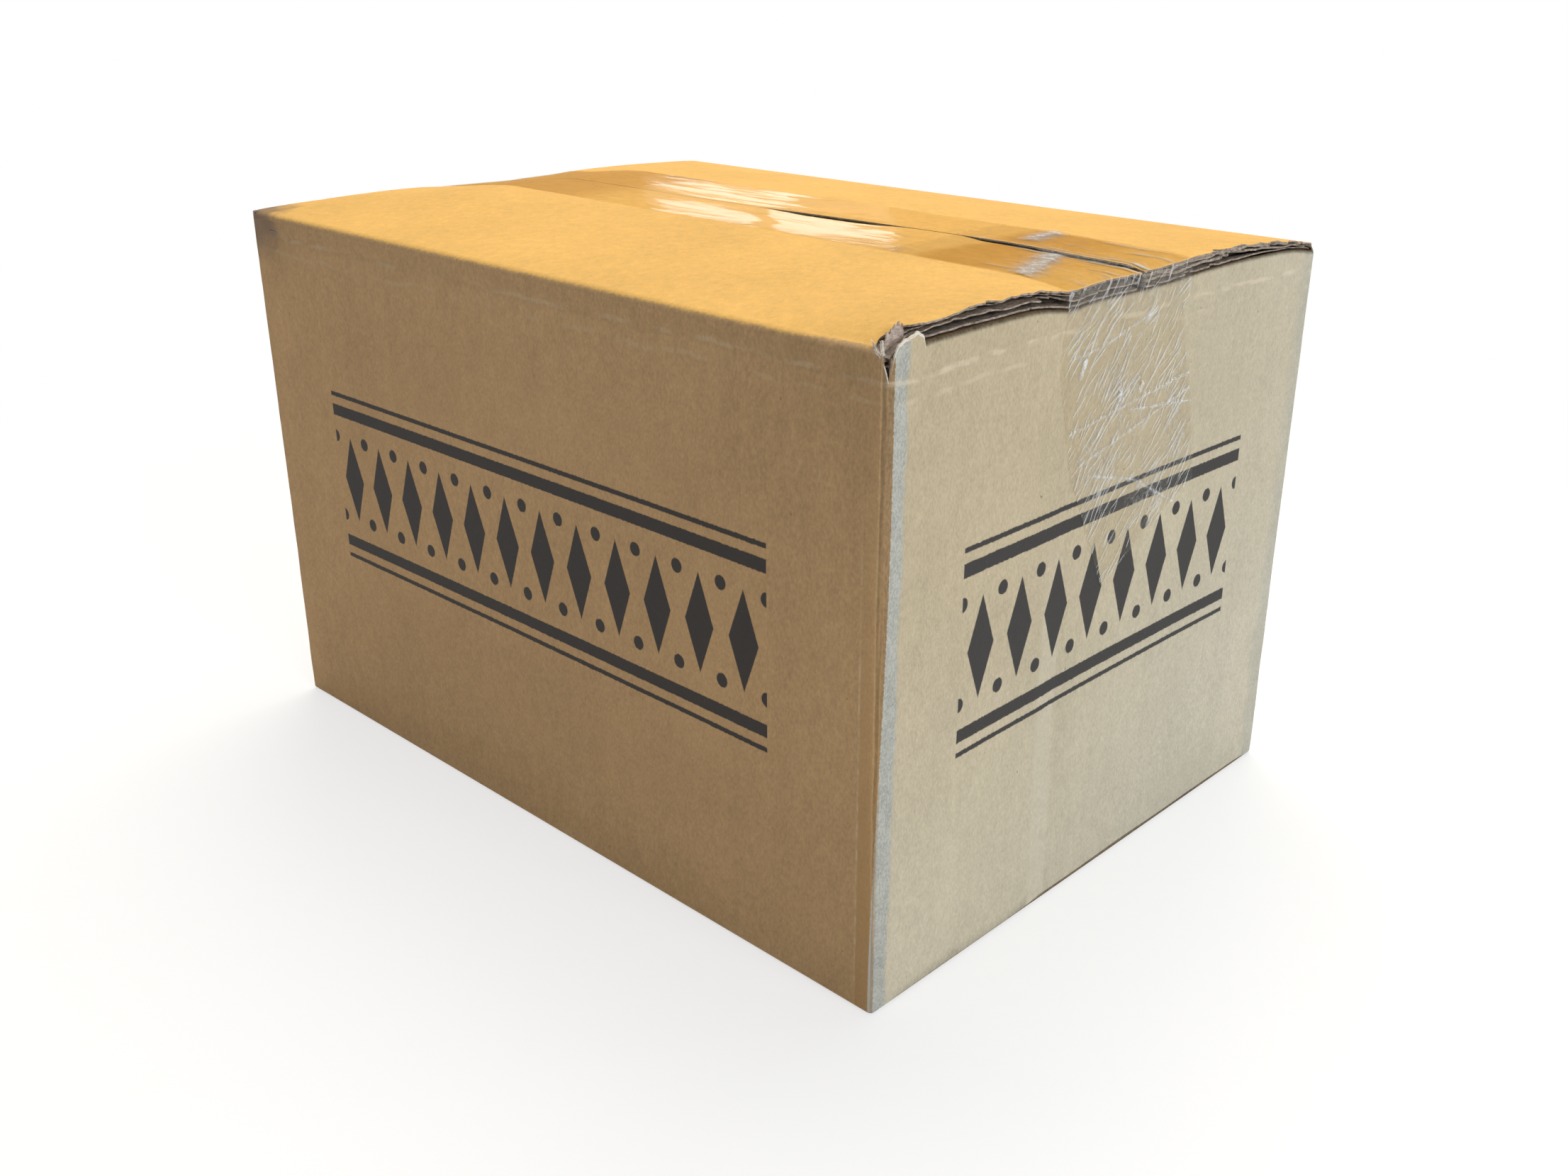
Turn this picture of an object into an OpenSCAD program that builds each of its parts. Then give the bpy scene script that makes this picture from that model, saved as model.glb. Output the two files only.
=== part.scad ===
// Taped shipping carton of double wall corrugated board.
// One blank is folded into four panels with four flaps at each end. Clear tape
// closes the top seam, runs on over one end, and closes the bottom seam.
// Millimetres, +Z up. The origin is the middle of the underside. X runs along
// the seam of the outer flaps, which hinge on the two long side panels.

/* [Carton] */
// Length over the end panels
carton_l = 231; // [180:1:320]
// Width over the side panels
carton_w = 165; // [120:1:176]
// Height from the underside to the top folds of the side panels
carton_h = 145; // [110:1:240]

/* [Board] */
// Thickness of each of the three liners
liner_t = 0.5; // [0.3:0.1:0.8]
// Height of the fine flutes, behind the outer liner
fine_flute_h = 1.2; // [0.8:0.1:2]
// Height of the coarse flutes, behind the middle liner
coarse_flute_h = 1.8; // [1:0.1:3]
// Depth to which the flutes lie open along a raw cut edge
flute_open = 3; // [1:0.5:6]

/* [Folds and flaps] */
// Inside radius of every fold
fold_in_r = 0.5; // [0.2:0.1:1.5]
// Height by which the end panels fold inside the side panels' fold lines
end_drop = 1; // [0.5:0.25:2]
// Distance of the outer flaps' raw side edges from the end panels' faces
flap_inset = 1.5; // [1:0.5:4]
// Gap between the inner flaps' side edges and the side panels
inner_flap_gap = 1.5; // [0.5:0.25:4]
// Gap left between an inner flap and the outer flaps that press on it
press_gap = 0.3; // [0.1:0.1:1]
// Opening between the two outer flaps at the seam
seam_gap = 1; // [0.5:0.25:4]
// Height of the top flaps at the seam above their folds
seam_rise = 5; // [0.5:0.25:8]
// Height of each top flap's bow above a straight line from fold to seam
flap_bow = 1.6; // [0.5:0.1:5]

/* [Corners] */
// Depth of a corner slot's floor below the fold line
slot_floor = 1; // [0.5:0.25:3]
// Width of the glued lap inside the closing corner
lap_w = 35; // [20:1:50]
// Distance of the closing panel's raw edge from the end panel's face
lap_step = 1; // [0.5:0.25:2]
// Width of the glue that fills the narrow gap beside the lap's fold
glue_w = 2; // [1:0.25:2.5]
// Width of the torn notch at the top of the front corner
tear_w = 4; // [2:0.5:8]
// Depth of the torn notch
tear_d = 6; // [4:0.5:20]

/* [Tape] */
// Width of the tape
tape_w = 48; // [36:1:75]
// Thickness of one layer of tape
tape_t = 0.1; // [0.05:0.05:0.3]
// Length of the second strip that lies on the seam strip
overlap_l = 52; // [30:1:85]
// Drop of the second strip's near edge down the end panel
near_drop = 69; // [30:1:90]
// Drop of its far edge
far_drop = 51; // [30:1:90]
// Sideways drift of the near edge's lower corner
near_drift = 21; // [0:1:25]
// Sideways drift of the far edge's lower corner
far_drift = 10; // [0:1:20]
// Drop of the seam strip down the opposite end panel
back_drop = 45; // [20:1:80]
// Distance of the bottom strip's ends from the end panels' faces
bottom_inset = 12; // [5:1:40]

/* [Hidden] */
$fn = 64;

// Overshoot of a cut past the faces that it opens
cut = 1;
// Straight steps along one bowed flap
bow_steps = 18;

board_t = 3 * liner_t + fine_flute_h + coarse_flute_h;
fold_r = board_t + fold_in_r;
half_l = carton_l / 2;
half_w = carton_w / 2;
flap_len = half_w - seam_gap / 2;
flap_end = half_l - flap_inset;
inner_flap_w = carton_w - 2 * (board_t + inner_flap_gap);
end_high = carton_h - end_drop;
pressed_z = board_t + press_gap;

// Circle of a bowed top flap, through the end of its fold and the seam
bow_run = half_w - fold_r;
bow_chord = norm([bow_run, seam_rise]);
bow_r = bow_chord * bow_chord / (8 * flap_bow) + flap_bow / 2;
bow_y = -bow_run / 2 + seam_rise / bow_chord * (bow_r - flap_bow);
bow_z = carton_h + seam_rise / 2 - bow_run / bow_chord * (bow_r - flap_bow);
function bow_height(y) = bow_z + sqrt(bow_r * bow_r - (y - bow_y) * (y - bow_y));
bow_curve = [
  for (i = [0:bow_steps])
    let (y = -bow_run * (1 - i / bow_steps))
      [y, bow_height(y)]
];
lid_curve = concat(
  bow_curve,
  [for (i = [bow_steps - 1:-1:0]) [-bow_curve[i][0], bow_curve[i][1]]]
);
// Levels that lie clear below and above the bowed lid
below_lid = carton_h - 2 * fold_r;
above_lid = carton_h + seam_rise + flap_bow + fold_r;

// Height of the end panel's fold where the raw edge of an outer flap stands on it
lip_z = end_high - fold_r + sqrt(pow(fold_r, 2) - pow(max(0, fold_r - flap_inset), 2));

board_colour = [0.78, 0.6, 0.38];
tape_colour = [0.9, 0.82, 0.62, 0.5];

// Profile in Y and Z, extruded along X
module along_x(from, to) {
  translate([from, 0, 0])
    rotate([90, 0, 90])
      linear_extrude(to - from)
        children();
}

// Profile in X and Z, extruded along Y on both sides of the middle
module across(width) {
  translate([0, width / 2, 0])
    rotate([90, 0, 0])
      linear_extrude(width)
        children();
}

// Rectangle between two corners
module span(low, high) {
  translate(low)
    square(high - low);
}

module both_sides() {
  children();
  mirror([0, 1, 0])
    children();
}

module both_ends() {
  children();
  mirror([1, 0, 0])
    children();
}

// Quarter of a fold's section, in the quadrant of +x and +y
module fold_quarter(inner_r, outer_r) {
  intersection() {
    difference() {
      circle(outer_r);
      circle(inner_r);
    }
    square(outer_r + cut);
  }
}

module rounded_plan(l, w, r) {
  square([l - 2 * r, w], center = true);
  square([l, w - 2 * r], center = true);
  for (sx = [-1, 1], sy = [-1, 1])
    translate([sx * (l / 2 - r), sy * (w / 2 - r)])
      circle(r);
}

// Glued closing corner: the lap folds in behind the raw edge of the back panel
module closing_corner() {
  lap_y = half_w - board_t;
  span([-half_l + lap_step, lap_y], [-half_l + fold_r, half_w]);
  span([-half_l + fold_r, lap_y - board_t], [-half_l + board_t + lap_w, lap_y]);
  span([-half_l + fold_r - glue_w, lap_y - board_t / 2], [-half_l + fold_r, lap_y]);
  translate([-half_l + fold_r, lap_y - fold_r])
    mirror([1, 0])
      fold_quarter(fold_in_r, fold_r);
}

// Plan section of the four panels
module panel_plan() {
  difference() {
    rounded_plan(carton_l, carton_w, fold_r);
    rounded_plan(carton_l - 2 * board_t, carton_w - 2 * board_t, fold_in_r);
    span(
      [-half_l - cut, half_w - board_t - fold_r],
      [-half_l + fold_r, half_w + cut]
    );
  }
  closing_corner();
}

// Panels between their folds, and the corners up to the floors of the slots
module panels() {
  low = end_drop + fold_r;
  translate([0, 0, low])
    linear_extrude(carton_h - 2 * low)
      panel_plan();
  translate([0, 0, slot_floor])
    linear_extrude(carton_h - 2 * slot_floor)
      intersection() {
        panel_plan();
        both_sides()
          both_ends()
            span([half_l - fold_r, inner_flap_w / 2], [half_l + cut, half_w + cut]);
      }
}

// Flutes that lie open along the back panel's raw edge
module closing_flutes() {
  inner_y = half_w - board_t + liner_t;
  linear_extrude(carton_h)
    for (layer = [[0, coarse_flute_h], [coarse_flute_h + liner_t, fine_flute_h]])
      span(
        [-half_l, inner_y + layer[0]],
        [-half_l + lap_step + flute_open, inner_y + layer[0] + layer[1]]
      );
}

// Section under the bowed lid, raised by lift
module under_lid(lift) {
  polygon(concat(
    [for (p = lid_curve) p + [0, lift]],
    [[bow_run, below_lid], [-bow_run, below_lid]]
  ));
}

// Layer of the lid between two heights above its outer face
module lid_layer(low, high) {
  difference() {
    under_lid(high);
    under_lid(low);
  }
}

// Part of a lid section that belongs to the flap of the -Y side
module one_flap() {
  intersection() {
    children();
    span([-half_w, below_lid - cut], [-seam_gap / 2, above_lid]);
  }
}

module top_outer_flap() {
  difference() {
    along_x(-flap_end, flap_end) {
      span([-half_w, end_high - fold_r], [-half_w + board_t, carton_h - fold_r]);
      translate([-half_w + fold_r, carton_h - fold_r])
        mirror([1, 0])
          fold_quarter(fold_in_r, fold_r);
      one_flap()
        lid_layer(-board_t, 0);
    }
    both_ends()
      along_x(flap_end - flute_open, flap_end + cut)
        one_flap() {
          lid_layer(-liner_t - fine_flute_h, -liner_t);
          lid_layer(liner_t - board_t, liner_t - board_t + coarse_flute_h);
        }
  }
}

module bottom_outer_flap() {
  edge = -half_w + fold_r;
  coarse_z = 2 * liner_t + fine_flute_h;
  difference() {
    along_x(-flap_end, flap_end) {
      span([-half_w, fold_r], [-half_w + board_t, end_drop + fold_r]);
      translate([edge, fold_r])
        rotate(180)
          fold_quarter(fold_in_r, fold_r);
      span([edge, 0], [-seam_gap / 2, board_t]);
    }
    both_ends()
      along_x(flap_end - flute_open, flap_end + cut) {
        span([edge, liner_t], [0, liner_t + fine_flute_h]);
        span([edge, coarse_z], [0, coarse_z + coarse_flute_h]);
      }
  }
}

// Fold and flap of an end panel, at the top and at the bottom
module inner_flaps() {
  fold_x = half_l - fold_r;
  free_x = half_l - flap_len;
  across(inner_flap_w) {
    translate([fold_x, end_high - fold_r])
      fold_quarter(fold_in_r, fold_r);
    span([free_x, end_high - board_t], [fold_x, end_high]);
    translate([fold_x, end_drop + fold_r])
      mirror([0, 1])
        fold_quarter(fold_in_r, fold_r);
    span([free_x, pressed_z], [half_l - board_t, pressed_z + board_t]);
  }
}

// Space that the outer flaps press out of the inner flaps and their folds
module pressed_space() {
  along_x(-flap_end - press_gap, flap_end + press_gap) {
    lid_layer(-board_t - press_gap, fold_r);
    span([-half_w, -cut], [half_w, pressed_z]);
  }
}

// Torn notch at the top of the front corner, open towards the corner
module corner_tear() {
  translate([half_l, -half_w, carton_h])
    rotate([90, 0, 45])
      linear_extrude(4 * fold_r, center = true)
        polygon([[-tear_w / 2, cut], [tear_w / 2, cut], [0, -tear_d]]);
}

module bottom_strip(low) {
  l = carton_l - 2 * bottom_inset;
  translate([-l / 2, -tape_w / 2, low])
    cube([l, tape_w, tape_t - low]);
}

module carton() {
  color(board_colour)
    difference() {
      union() {
        panels();
        both_sides() {
          top_outer_flap();
          bottom_outer_flap();
        }
        difference() {
          both_ends()
            inner_flaps();
          pressed_space();
        }
      }
      closing_flutes();
      corner_tear();
      bottom_strip(-cut);
    }
}

// Part of a section within the tape's width, above a level
module tape_band(low) {
  intersection() {
    children();
    span([-tape_w / 2, low], [tape_w / 2, above_lid]);
  }
}

// Tape from the lid's raw edges down over the +X end, with its top at lift
module tape_over_end(lift, near, far) {
  fold_z = end_high - fold_r;
  along_x(flap_end, flap_end + tape_t)
    tape_band(lip_z)
      under_lid(lift);
  across(tape_w)
    intersection() {
      union() {
        translate([half_l - fold_r, fold_z])
          fold_quarter(fold_r, fold_r + tape_t);
        span([half_l - fold_r - flap_inset, end_high], [half_l - fold_r, end_high + tape_t]);
      }
      span([flap_end, fold_z], [half_l + cut, end_high + cut]);
    }
  along_x(half_l, half_l + tape_t)
    polygon([[-tape_w / 2, fold_z], near, far, [tape_w / 2, fold_z]]);
}

module seam_tape() {
  low_z = carton_h - back_drop;
  color(tape_colour) {
    along_x(-flap_end, flap_end)
      tape_band(below_lid)
        lid_layer(0, tape_t);
    mirror([1, 0, 0])
      tape_over_end(tape_t, [-tape_w / 2, low_z], [tape_w / 2, low_z]);
  }
}

module end_tape() {
  color(tape_colour) {
    along_x(half_l - overlap_l, flap_end)
      tape_band(below_lid)
        lid_layer(tape_t, 2 * tape_t);
    tape_over_end(
      2 * tape_t,
      [near_drift - tape_w / 2, carton_h - near_drop],
      [far_drift + tape_w / 2, carton_h - far_drop]
    );
  }
}

module bottom_tape() {
  color(tape_colour)
    bottom_strip(0);
}

carton();
seam_tape();
end_tape();
bottom_tape();
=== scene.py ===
import math
from types import SimpleNamespace

import bmesh
import bpy
import numpy as np
from mathutils import Matrix, Vector, noise


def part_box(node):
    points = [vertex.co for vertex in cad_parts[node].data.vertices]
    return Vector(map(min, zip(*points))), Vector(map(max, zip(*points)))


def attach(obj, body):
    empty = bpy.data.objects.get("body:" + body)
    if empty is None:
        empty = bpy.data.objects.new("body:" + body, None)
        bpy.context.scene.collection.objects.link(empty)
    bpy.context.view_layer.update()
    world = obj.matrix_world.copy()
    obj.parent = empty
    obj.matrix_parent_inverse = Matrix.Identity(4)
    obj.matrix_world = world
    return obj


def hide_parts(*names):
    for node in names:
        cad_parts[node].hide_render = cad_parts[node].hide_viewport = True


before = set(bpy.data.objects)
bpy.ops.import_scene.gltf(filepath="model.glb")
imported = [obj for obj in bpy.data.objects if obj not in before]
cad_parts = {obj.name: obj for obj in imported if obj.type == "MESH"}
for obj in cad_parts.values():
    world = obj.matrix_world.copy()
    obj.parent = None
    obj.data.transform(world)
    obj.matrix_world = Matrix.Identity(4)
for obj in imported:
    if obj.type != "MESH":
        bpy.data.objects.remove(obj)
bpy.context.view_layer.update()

# Sizes are in millimetres, and meshes are scaled to metres when they are made
MM = 0.001
# Distance, in metres, under which two vertices become one
MERGE = 1e-6
CARTON_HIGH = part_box("carton")[1]
HALF_L = CARTON_HIGH[0] / MM
HALF_W = CARTON_HIGH[1] / MM
TAPE_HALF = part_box("bottom_tape")[1][1] / MM
BOTTOM_TAPE_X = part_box("bottom_tape")[1][0] / MM

# Board and folds
FOLD_Z = 145.0
FOLD_R = 2.2
FOLD_ARC = FOLD_R * math.pi / 2
LOW_R = 0.5
LOW_ARC = LOW_R * math.pi / 2
CORNER_R = 1.4
# The upright corners get squarer towards the bottom
LOW_SQUARE = 0.6
SQUARE_REACH = 70.0
BOARD_T = 4.5
LINER_T = 0.5
OUTER_FLUTE = 1.7
INNER_FLUTE = 1.3
SKIN_T = 0.4
FLUTE_PITCH = 7.4
BOARD_SHARP = 40
SEAM_GAP = 1.0
FLAP_RUN = FOLD_ARC + HALF_W - FOLD_R - SEAM_GAP / 2
LOW_RUN = LOW_ARC + HALF_W - LOW_R - SEAM_GAP / 2
SLOT_FLOOR = 1.6
SLOT_LAG = 2.0
LAP_STEP = 1.0
# Gap between an outer flap and the inner flap under it, and how far an end's fold is pressed down
INNER_GAP = 0.4
END_PRESS = 0.3
# Recess of the bottom flaps for the tape, and the room beside the tape
RECESS_D = 0.15
RECESS_ROOM = 0.5
# Columns of a panel's mesh: their pitch, and the finer one beside the corners
COLUMN_PITCH = 3.4
COLUMN_FINE = 0.9

# Shape of the lid: rise and bow of the flaps, raw edges, pull of the tape, step and dip beside it
SEAM_RISE = 4.8
FLAP_BOW = 1.6
LID_WAVE = 0.25
TOP_EDGE_X = HALF_L - 0.9
BOTTOM_EDGE_X = HALF_L - 3.0
EDGE_REACH = 40.0
CRUSH_REACH = 9.0
CURL_REACH = 3.5
EDGE_TEAR = {-1: 0.12, 1: 0.9}
TAPE_PULL = 0.9
PULL_REACH = 5.0
SEAM_STEP = 0.5
STEP_REACH = 6.0
STEP_FROM = 0.72
EDGE_DIP = 1.3
DIP_W = 8.0
DIP_REACH = 14.0
SEAM_CLOSE = 0.38
CLOSE_REACH = 8.0
# The seam drifts off the middle towards the taped end, between these places in X
SEAM_DRIFT = 3.0
DRIFT_RUN = (-5.0, 55.0)
DRIFT_REACH = 24.0
# Open stretches of the seam: middle and half width of the first, start and fade of the second
GAPE_SHORT = (25.0, 18.0)
GAPE_LONG = (64.0, 8.0)
# Raw edge of each flap: highest rise, its place from fold to seam, steepness, rise at the seam,
# thickness, share of the thickness left at the fold and the place where all of it is left
RAW_EDGE = {
    (1, -1): (4.6, 0.40, 4, 3.9, 3.7, 0.68, 0.25),
    (1, 1): (4.2, 0.55, 2, 4.1, 3.8, 0.4, 0.6),
    (-1, -1): (1.5, 0.50, 2, 1.0, 4.1, 0.68, 0.25),
    (-1, 1): (1.5, 0.50, 2, 1.0, 4.1, 0.68, 0.25),
}

# Panels: how far their middles stand in, and the pressed lines beside the folds
SIDE_DISH = 0.7
END_DISH = 1.1
END_FOLD_R = 1.2
CREASE_DROP = 6.0
SECOND_DROP = CREASE_DROP + 4
CREASE_D = 0.3
# Crushed corner at -X and -Y: width on the lid, and depth, place and spread of the knock below it
CRUSH = 5.0
KNOCK_D = 1.6
KNOCK_X = 8 - HALF_L
KNOCK_Z = FOLD_Z - 7
KNOCK_SPREAD = 45.0

# Torn front corner, at +X and -Y
TEAR_D = 5.0
TEAR_TURN = 1.15
TEAR_END = 1.5
TEAR_BACK = 3.9
TEAR_REACH = 16.0

# Rows of a panel from its bottom fold (0) to its top fold (1), closer near the top
PANEL_ROWS = np.r_[np.linspace(0, 0.88, 34), np.linspace(0.88, 1, 20)[1:]]


def smooth(t):
    t = np.clip(t, 0, 1)
    return t * t * (3 - 2 * t)


def ripple(a, b, size, seed=0.0):
    """Smooth noise from -1 to 1 over two arrays of places."""
    sample = np.vectorize(lambda p, q: noise.noise((p / size, q / size, 3.7 * seed + 0.37)))
    return sample(a, b)


def spaced(low, high, pitch, fine, band):
    """Places from low to high, closer within a band at both ends."""
    ends = np.arange(0, band, fine)
    middle = np.linspace(band, high - low - band, max(2, round((high - low - 2 * band) / pitch)))
    return low + np.r_[ends, middle, high - low - ends[::-1]]


def points(x, y, z):
    return np.stack(np.broadcast_arrays(x, y, z), axis=-1).astype(float)


def near_edge(x, end, reach):
    """1 at the raw edge of the top flaps, and 0 from a distance inwards."""
    return smooth(1 - (TOP_EDGE_X - end * x) / reach)


def seam_middle(x):
    """Place of the seam in Y."""
    return SEAM_DRIFT * smooth((x - DRIFT_RUN[0]) / (DRIFT_RUN[1] - DRIFT_RUN[0]))


def seam_open(x):
    """How far the seam gapes: a short stretch past the middle, and all of it near the taped end."""
    short = np.exp(-(((x - GAPE_SHORT[0]) / GAPE_SHORT[1]) ** 4))
    return np.maximum(short, smooth((x - GAPE_LONG[0]) / GAPE_LONG[1]))


def lid_rise(x, inward, side):
    """Height of a top flap's outer face above the fold, at a distance inward from its panel."""
    q = np.clip((inward - FOLD_R) / (HALF_W - FOLD_R), 0, 1)
    rise = SEAM_RISE * q + 4 * FLAP_BOW * q * (1 - q)
    across = HALF_W - inward
    if side < 0:
        held = smooth((TOP_EDGE_X - np.abs(x)) / STEP_REACH) * smooth((q - STEP_FROM) / (1 - STEP_FROM))
        dip = np.exp(-(((across - TAPE_HALF) / DIP_W) ** 2)) * near_edge(x, 1, DIP_REACH)
    for end in (-1, 1):
        peak, place, steep, seam = RAW_EDGE[end, side][:4]
        up = peak * (1 - (1 - np.clip(q / place, 0, 1)) ** steep)
        down = (peak - seam) * (np.clip(q - place, 0, 1) / (1 - place)) ** 2
        near = smooth(1 - (HALF_L - end * x) / EDGE_REACH)
        rise = rise + (up - down - rise) * near
        bent = near_edge(x, end, PULL_REACH) * np.exp(-((across / TAPE_HALF) ** 4))
        rise = rise - TAPE_PULL * bent
    if side < 0:
        rise = rise - SEAM_STEP * seam_open(x) * held - EDGE_DIP * dip
    return rise - LID_WAVE * (1 + ripple(x, side * across, 38, 2)) * smooth(q * 4)


def lid_height(x, y, seam=0.0):
    """Height of the lid's outer face: of one flap on this side of the seam, of the other beyond it."""
    rises = [lid_rise(x, HALF_W - np.abs(y), side) for side in (-1, 1)]
    return FOLD_Z + np.where(y < seam, *rises)


def edge_thickness(x, inward, side):
    """Thickness of a top flap, which is crushed towards its raw edges."""
    q = (inward - FOLD_R) / (HALF_W - FOLD_R)
    thick = BOARD_T
    for end in (-1, 1):
        near = near_edge(x, end, CRUSH_REACH)
        full, slim, reach = RAW_EDGE[end, side][4:]
        crushed = full * (slim + (1 - slim) * smooth(q / reach))
        thick = thick + (crushed - thick) * near
    return thick


def flap_point(x, run, depth, side, top=True):
    """Place below the outer face of an outer flap. The run starts at the panel, before the fold."""
    bend = FOLD_R if top else LOW_R
    turn = np.clip(run / bend, 0, math.pi / 2)
    inward = bend - (bend - depth) * np.cos(turn) + np.maximum(run - bend * math.pi / 2, 0)
    over = (bend - depth) * np.sin(turn)
    if top:
        left = FLAP_RUN - run
        inward = inward + SEAM_CLOSE * (1 - seam_open(x)) * smooth(1 - left / CLOSE_REACH)
        inward = inward - side * seam_middle(x) * smooth(1 - left / DRIFT_REACH)
        z = FOLD_Z - FOLD_R + over + lid_rise(x, inward, side)
    else:
        taped = (np.abs(x) < BOTTOM_TAPE_X + RECESS_ROOM) & (HALF_W - inward < TAPE_HALF + RECESS_ROOM)
        z = LOW_R - over + RECESS_D * taped
    return points(x, side * (HALF_W - inward), z)


def ragged(run, size, seed):
    """Torn outline along a raw edge: long waves, short tears and a few deeper notches."""
    wave = 0.5 * ripple(run, seed, 9, seed) + 0.35 * ripple(run, seed, 2.6, seed + 1)
    notch = np.clip(ripple(run, seed, 4, seed + 2) - 0.28, 0, 1) * 5
    return size * (wave - notch)


def edge_curl(x, run, side):
    """How far the outer liner of a top flap is bent down along its raw edge."""
    across = HALF_W - FOLD_R - np.maximum(run - FOLD_ARC, 0)
    free = smooth((np.abs(across) - TAPE_HALF + 1) / 3) * smooth((run - FOLD_ARC) / 4)
    end = np.sign(x)
    near = near_edge(x, end, CURL_REACH)
    along = run + 0 * x
    wave = 0.45 * ripple(along, end, 6, side + 11) + 0.3 * ripple(along, end, 1.9, side + 12)
    return (0.1 + wave) * near * free * (x > 0)


def line_groove(offset, width):
    return np.exp(-((offset / width) ** 2))


def side_dent(x, z, side):
    """How far a side panel's face stands in from the flat."""
    fade = smooth((HALF_L - CORNER_R - np.abs(x)) / 9)
    high = np.clip(z / FOLD_Z, 0, 1)
    dish = SIDE_DISH * (1 - (x / HALF_L) ** 2) * 4 * high * (1 - high)
    wander = z - FOLD_Z + CREASE_DROP + 0.6 * ripple(x, 0 * z, 14, side)
    crease = CREASE_D * line_groove(wander, 0.9) * (0.7 + 0.5 * ripple(x, z, 22, side + 3))
    second = z - FOLD_Z + CREASE_DROP + 4.5 - 0.03 * x + 0.7 * ripple(x, 0 * z, 17, side + 9)
    crease = crease + 0.15 * line_groove(second, 0.8) * smooth(x / 60)
    away = (x - KNOCK_X) ** 2 + (z - KNOCK_Z) ** 2
    knock = KNOCK_D * np.exp(-away / KNOCK_SPREAD) * (side < 0)
    wave = 0.12 * (1 + ripple(x, z, 30, side + 5))
    return fade * (dish + crease + wave) + smooth((HALF_L - CORNER_R - np.abs(x)) / 4) * knock


def end_dent(y, z, end):
    """How far an end panel's face stands in from the flat."""
    fade = smooth((HALF_W - CORNER_R - np.abs(y)) / 8)
    high = np.clip(z / FOLD_Z, 0, 1)
    dish = END_DISH * (1 - (y / HALF_W) ** 2) * np.clip(4 * high * (1 - high) + 0.35 * high, 0, 1)
    lines = 0.0
    for drop, deep, seed in ((CREASE_DROP, 0.3, 1), (SECOND_DROP, 0.2, 2)):
        wander = z - FOLD_Z + drop + 0.9 * ripple(y, 0 * z, 16, end * seed)
        lines = lines + deep * line_groove(wander, 0.8) * (0.6 + 0.7 * ripple(y, z, 19, seed + 4))
    step = 0.25 * smooth((y + 26) / 5) * (end > 0)
    wave = 0.12 * (1 + ripple(y, z, 30, end + 7))
    return fade * (dish + lines + step + wave)


def side_z(share):
    return LOW_R + share * (FOLD_Z - FOLD_R - LOW_R)


def end_top(y, end):
    """Height of an end panel's fold, which presses against the flaps that lie on it."""
    inward = HALF_W - np.abs(y)
    x = end * (TOP_EDGE_X - 1)
    undersides = [lid_rise(x, inward, s) - edge_thickness(x, inward, s) for s in (-1, 1)]
    return FOLD_Z + np.where(y < 0, *undersides) - END_PRESS


def end_z(share, y, end):
    return LOW_R + share * (end_top(y, end) - END_FOLD_R - LOW_R)


def reach_out(x, low_half, high_half):
    """Moves the outermost columns so that the last ones lie at the given distances."""
    inner = HALF_L - 16
    beyond = np.maximum(np.abs(x) - inner, 0) / (HALF_L - CORNER_R - inner)
    half = np.where(x < 0, low_half, high_half)
    return np.sign(x) * (np.minimum(np.abs(x), inner) + beyond * (half - inner))


def flap_half(run, side, end, edge_x, size):
    """Distance of a flap's raw edge from the middle, with the torn outline faded under the tape."""
    lag = SLOT_LAG if edge_x == BOTTOM_EDGE_X else 0.0
    flare = smooth((run - lag) / FOLD_ARC)
    panel_half = HALF_L - CORNER_R
    if (end, side) == (-1, 1):
        panel_half = HALF_L - LAP_STEP
    across = HALF_W - FOLD_R - np.maximum(run - FOLD_ARC, 0)
    calm = 1 - 0.7 * np.exp(-((across / TAPE_HALF) ** 6))
    half = panel_half + (edge_x + calm * ragged(run, size, 5 + side + 3 * end) - panel_half) * flare
    if (end, side, edge_x) == (1, -1, TOP_EDGE_X):
        half = half - TEAR_BACK * smooth(run / FOLD_ARC) ** 1.3 * smooth((FOLD_ARC + 10 - run) / 5)
    return half


def tear_depth(turn):
    """How much of the liner is missing below the fold, over the turn of the torn corner."""
    left = (turn + 0.5) / (TEAR_TURN + 0.5)
    right = (TEAR_END - turn) / (TEAR_END - TEAR_TURN)
    jag = 0.4 * ripple(turn * 9, 0 * turn, 1.0, 3)
    return (TEAR_D + jag) * np.clip(np.minimum(left, right), 0, 1) ** 1.6


def side_sheet(side):
    """Outer face of a side panel with its outer flaps, from the bottom seam to the top seam."""
    columns = spaced(CORNER_R - HALF_L, HALF_L - CORNER_R, COLUMN_PITCH, COLUMN_FINE, 12)
    flat_runs = np.arange(FOLD_ARC + 0.7, FLAP_RUN, 0.7)
    top_runs = np.r_[np.linspace(0, FOLD_ARC, 9), flat_runs, FLAP_RUN]
    low_runs = np.r_[np.linspace(0, LOW_ARC, 7), np.linspace(LOW_ARC, LOW_RUN, 14)[1:]]
    rows = []
    for run in low_runs[:0:-1]:
        halves = [flap_half(run, side, end, BOTTOM_EDGE_X, 0.3) for end in (-1, 1)]
        rows.append(flap_point(reach_out(columns, *halves), run, 0, side, top=False))
    low_half = HALF_L - (LAP_STEP if side > 0 else CORNER_R)
    panel_x = reach_out(columns, low_half, HALF_L - CORNER_R)
    for share in PANEL_ROWS:
        z = side_z(share) + 0 * panel_x
        rows.append(points(panel_x, side * (HALF_W - side_dent(panel_x, z, side)), z))
    for run in top_runs[1:]:
        halves = [flap_half(run, side, end, TOP_EDGE_X, EDGE_TEAR[end]) for end in (-1, 1)]
        x = reach_out(columns, *halves)
        rows.append(flap_point(x, run, edge_curl(x, run, side), side))
    return np.array(rows)


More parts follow.
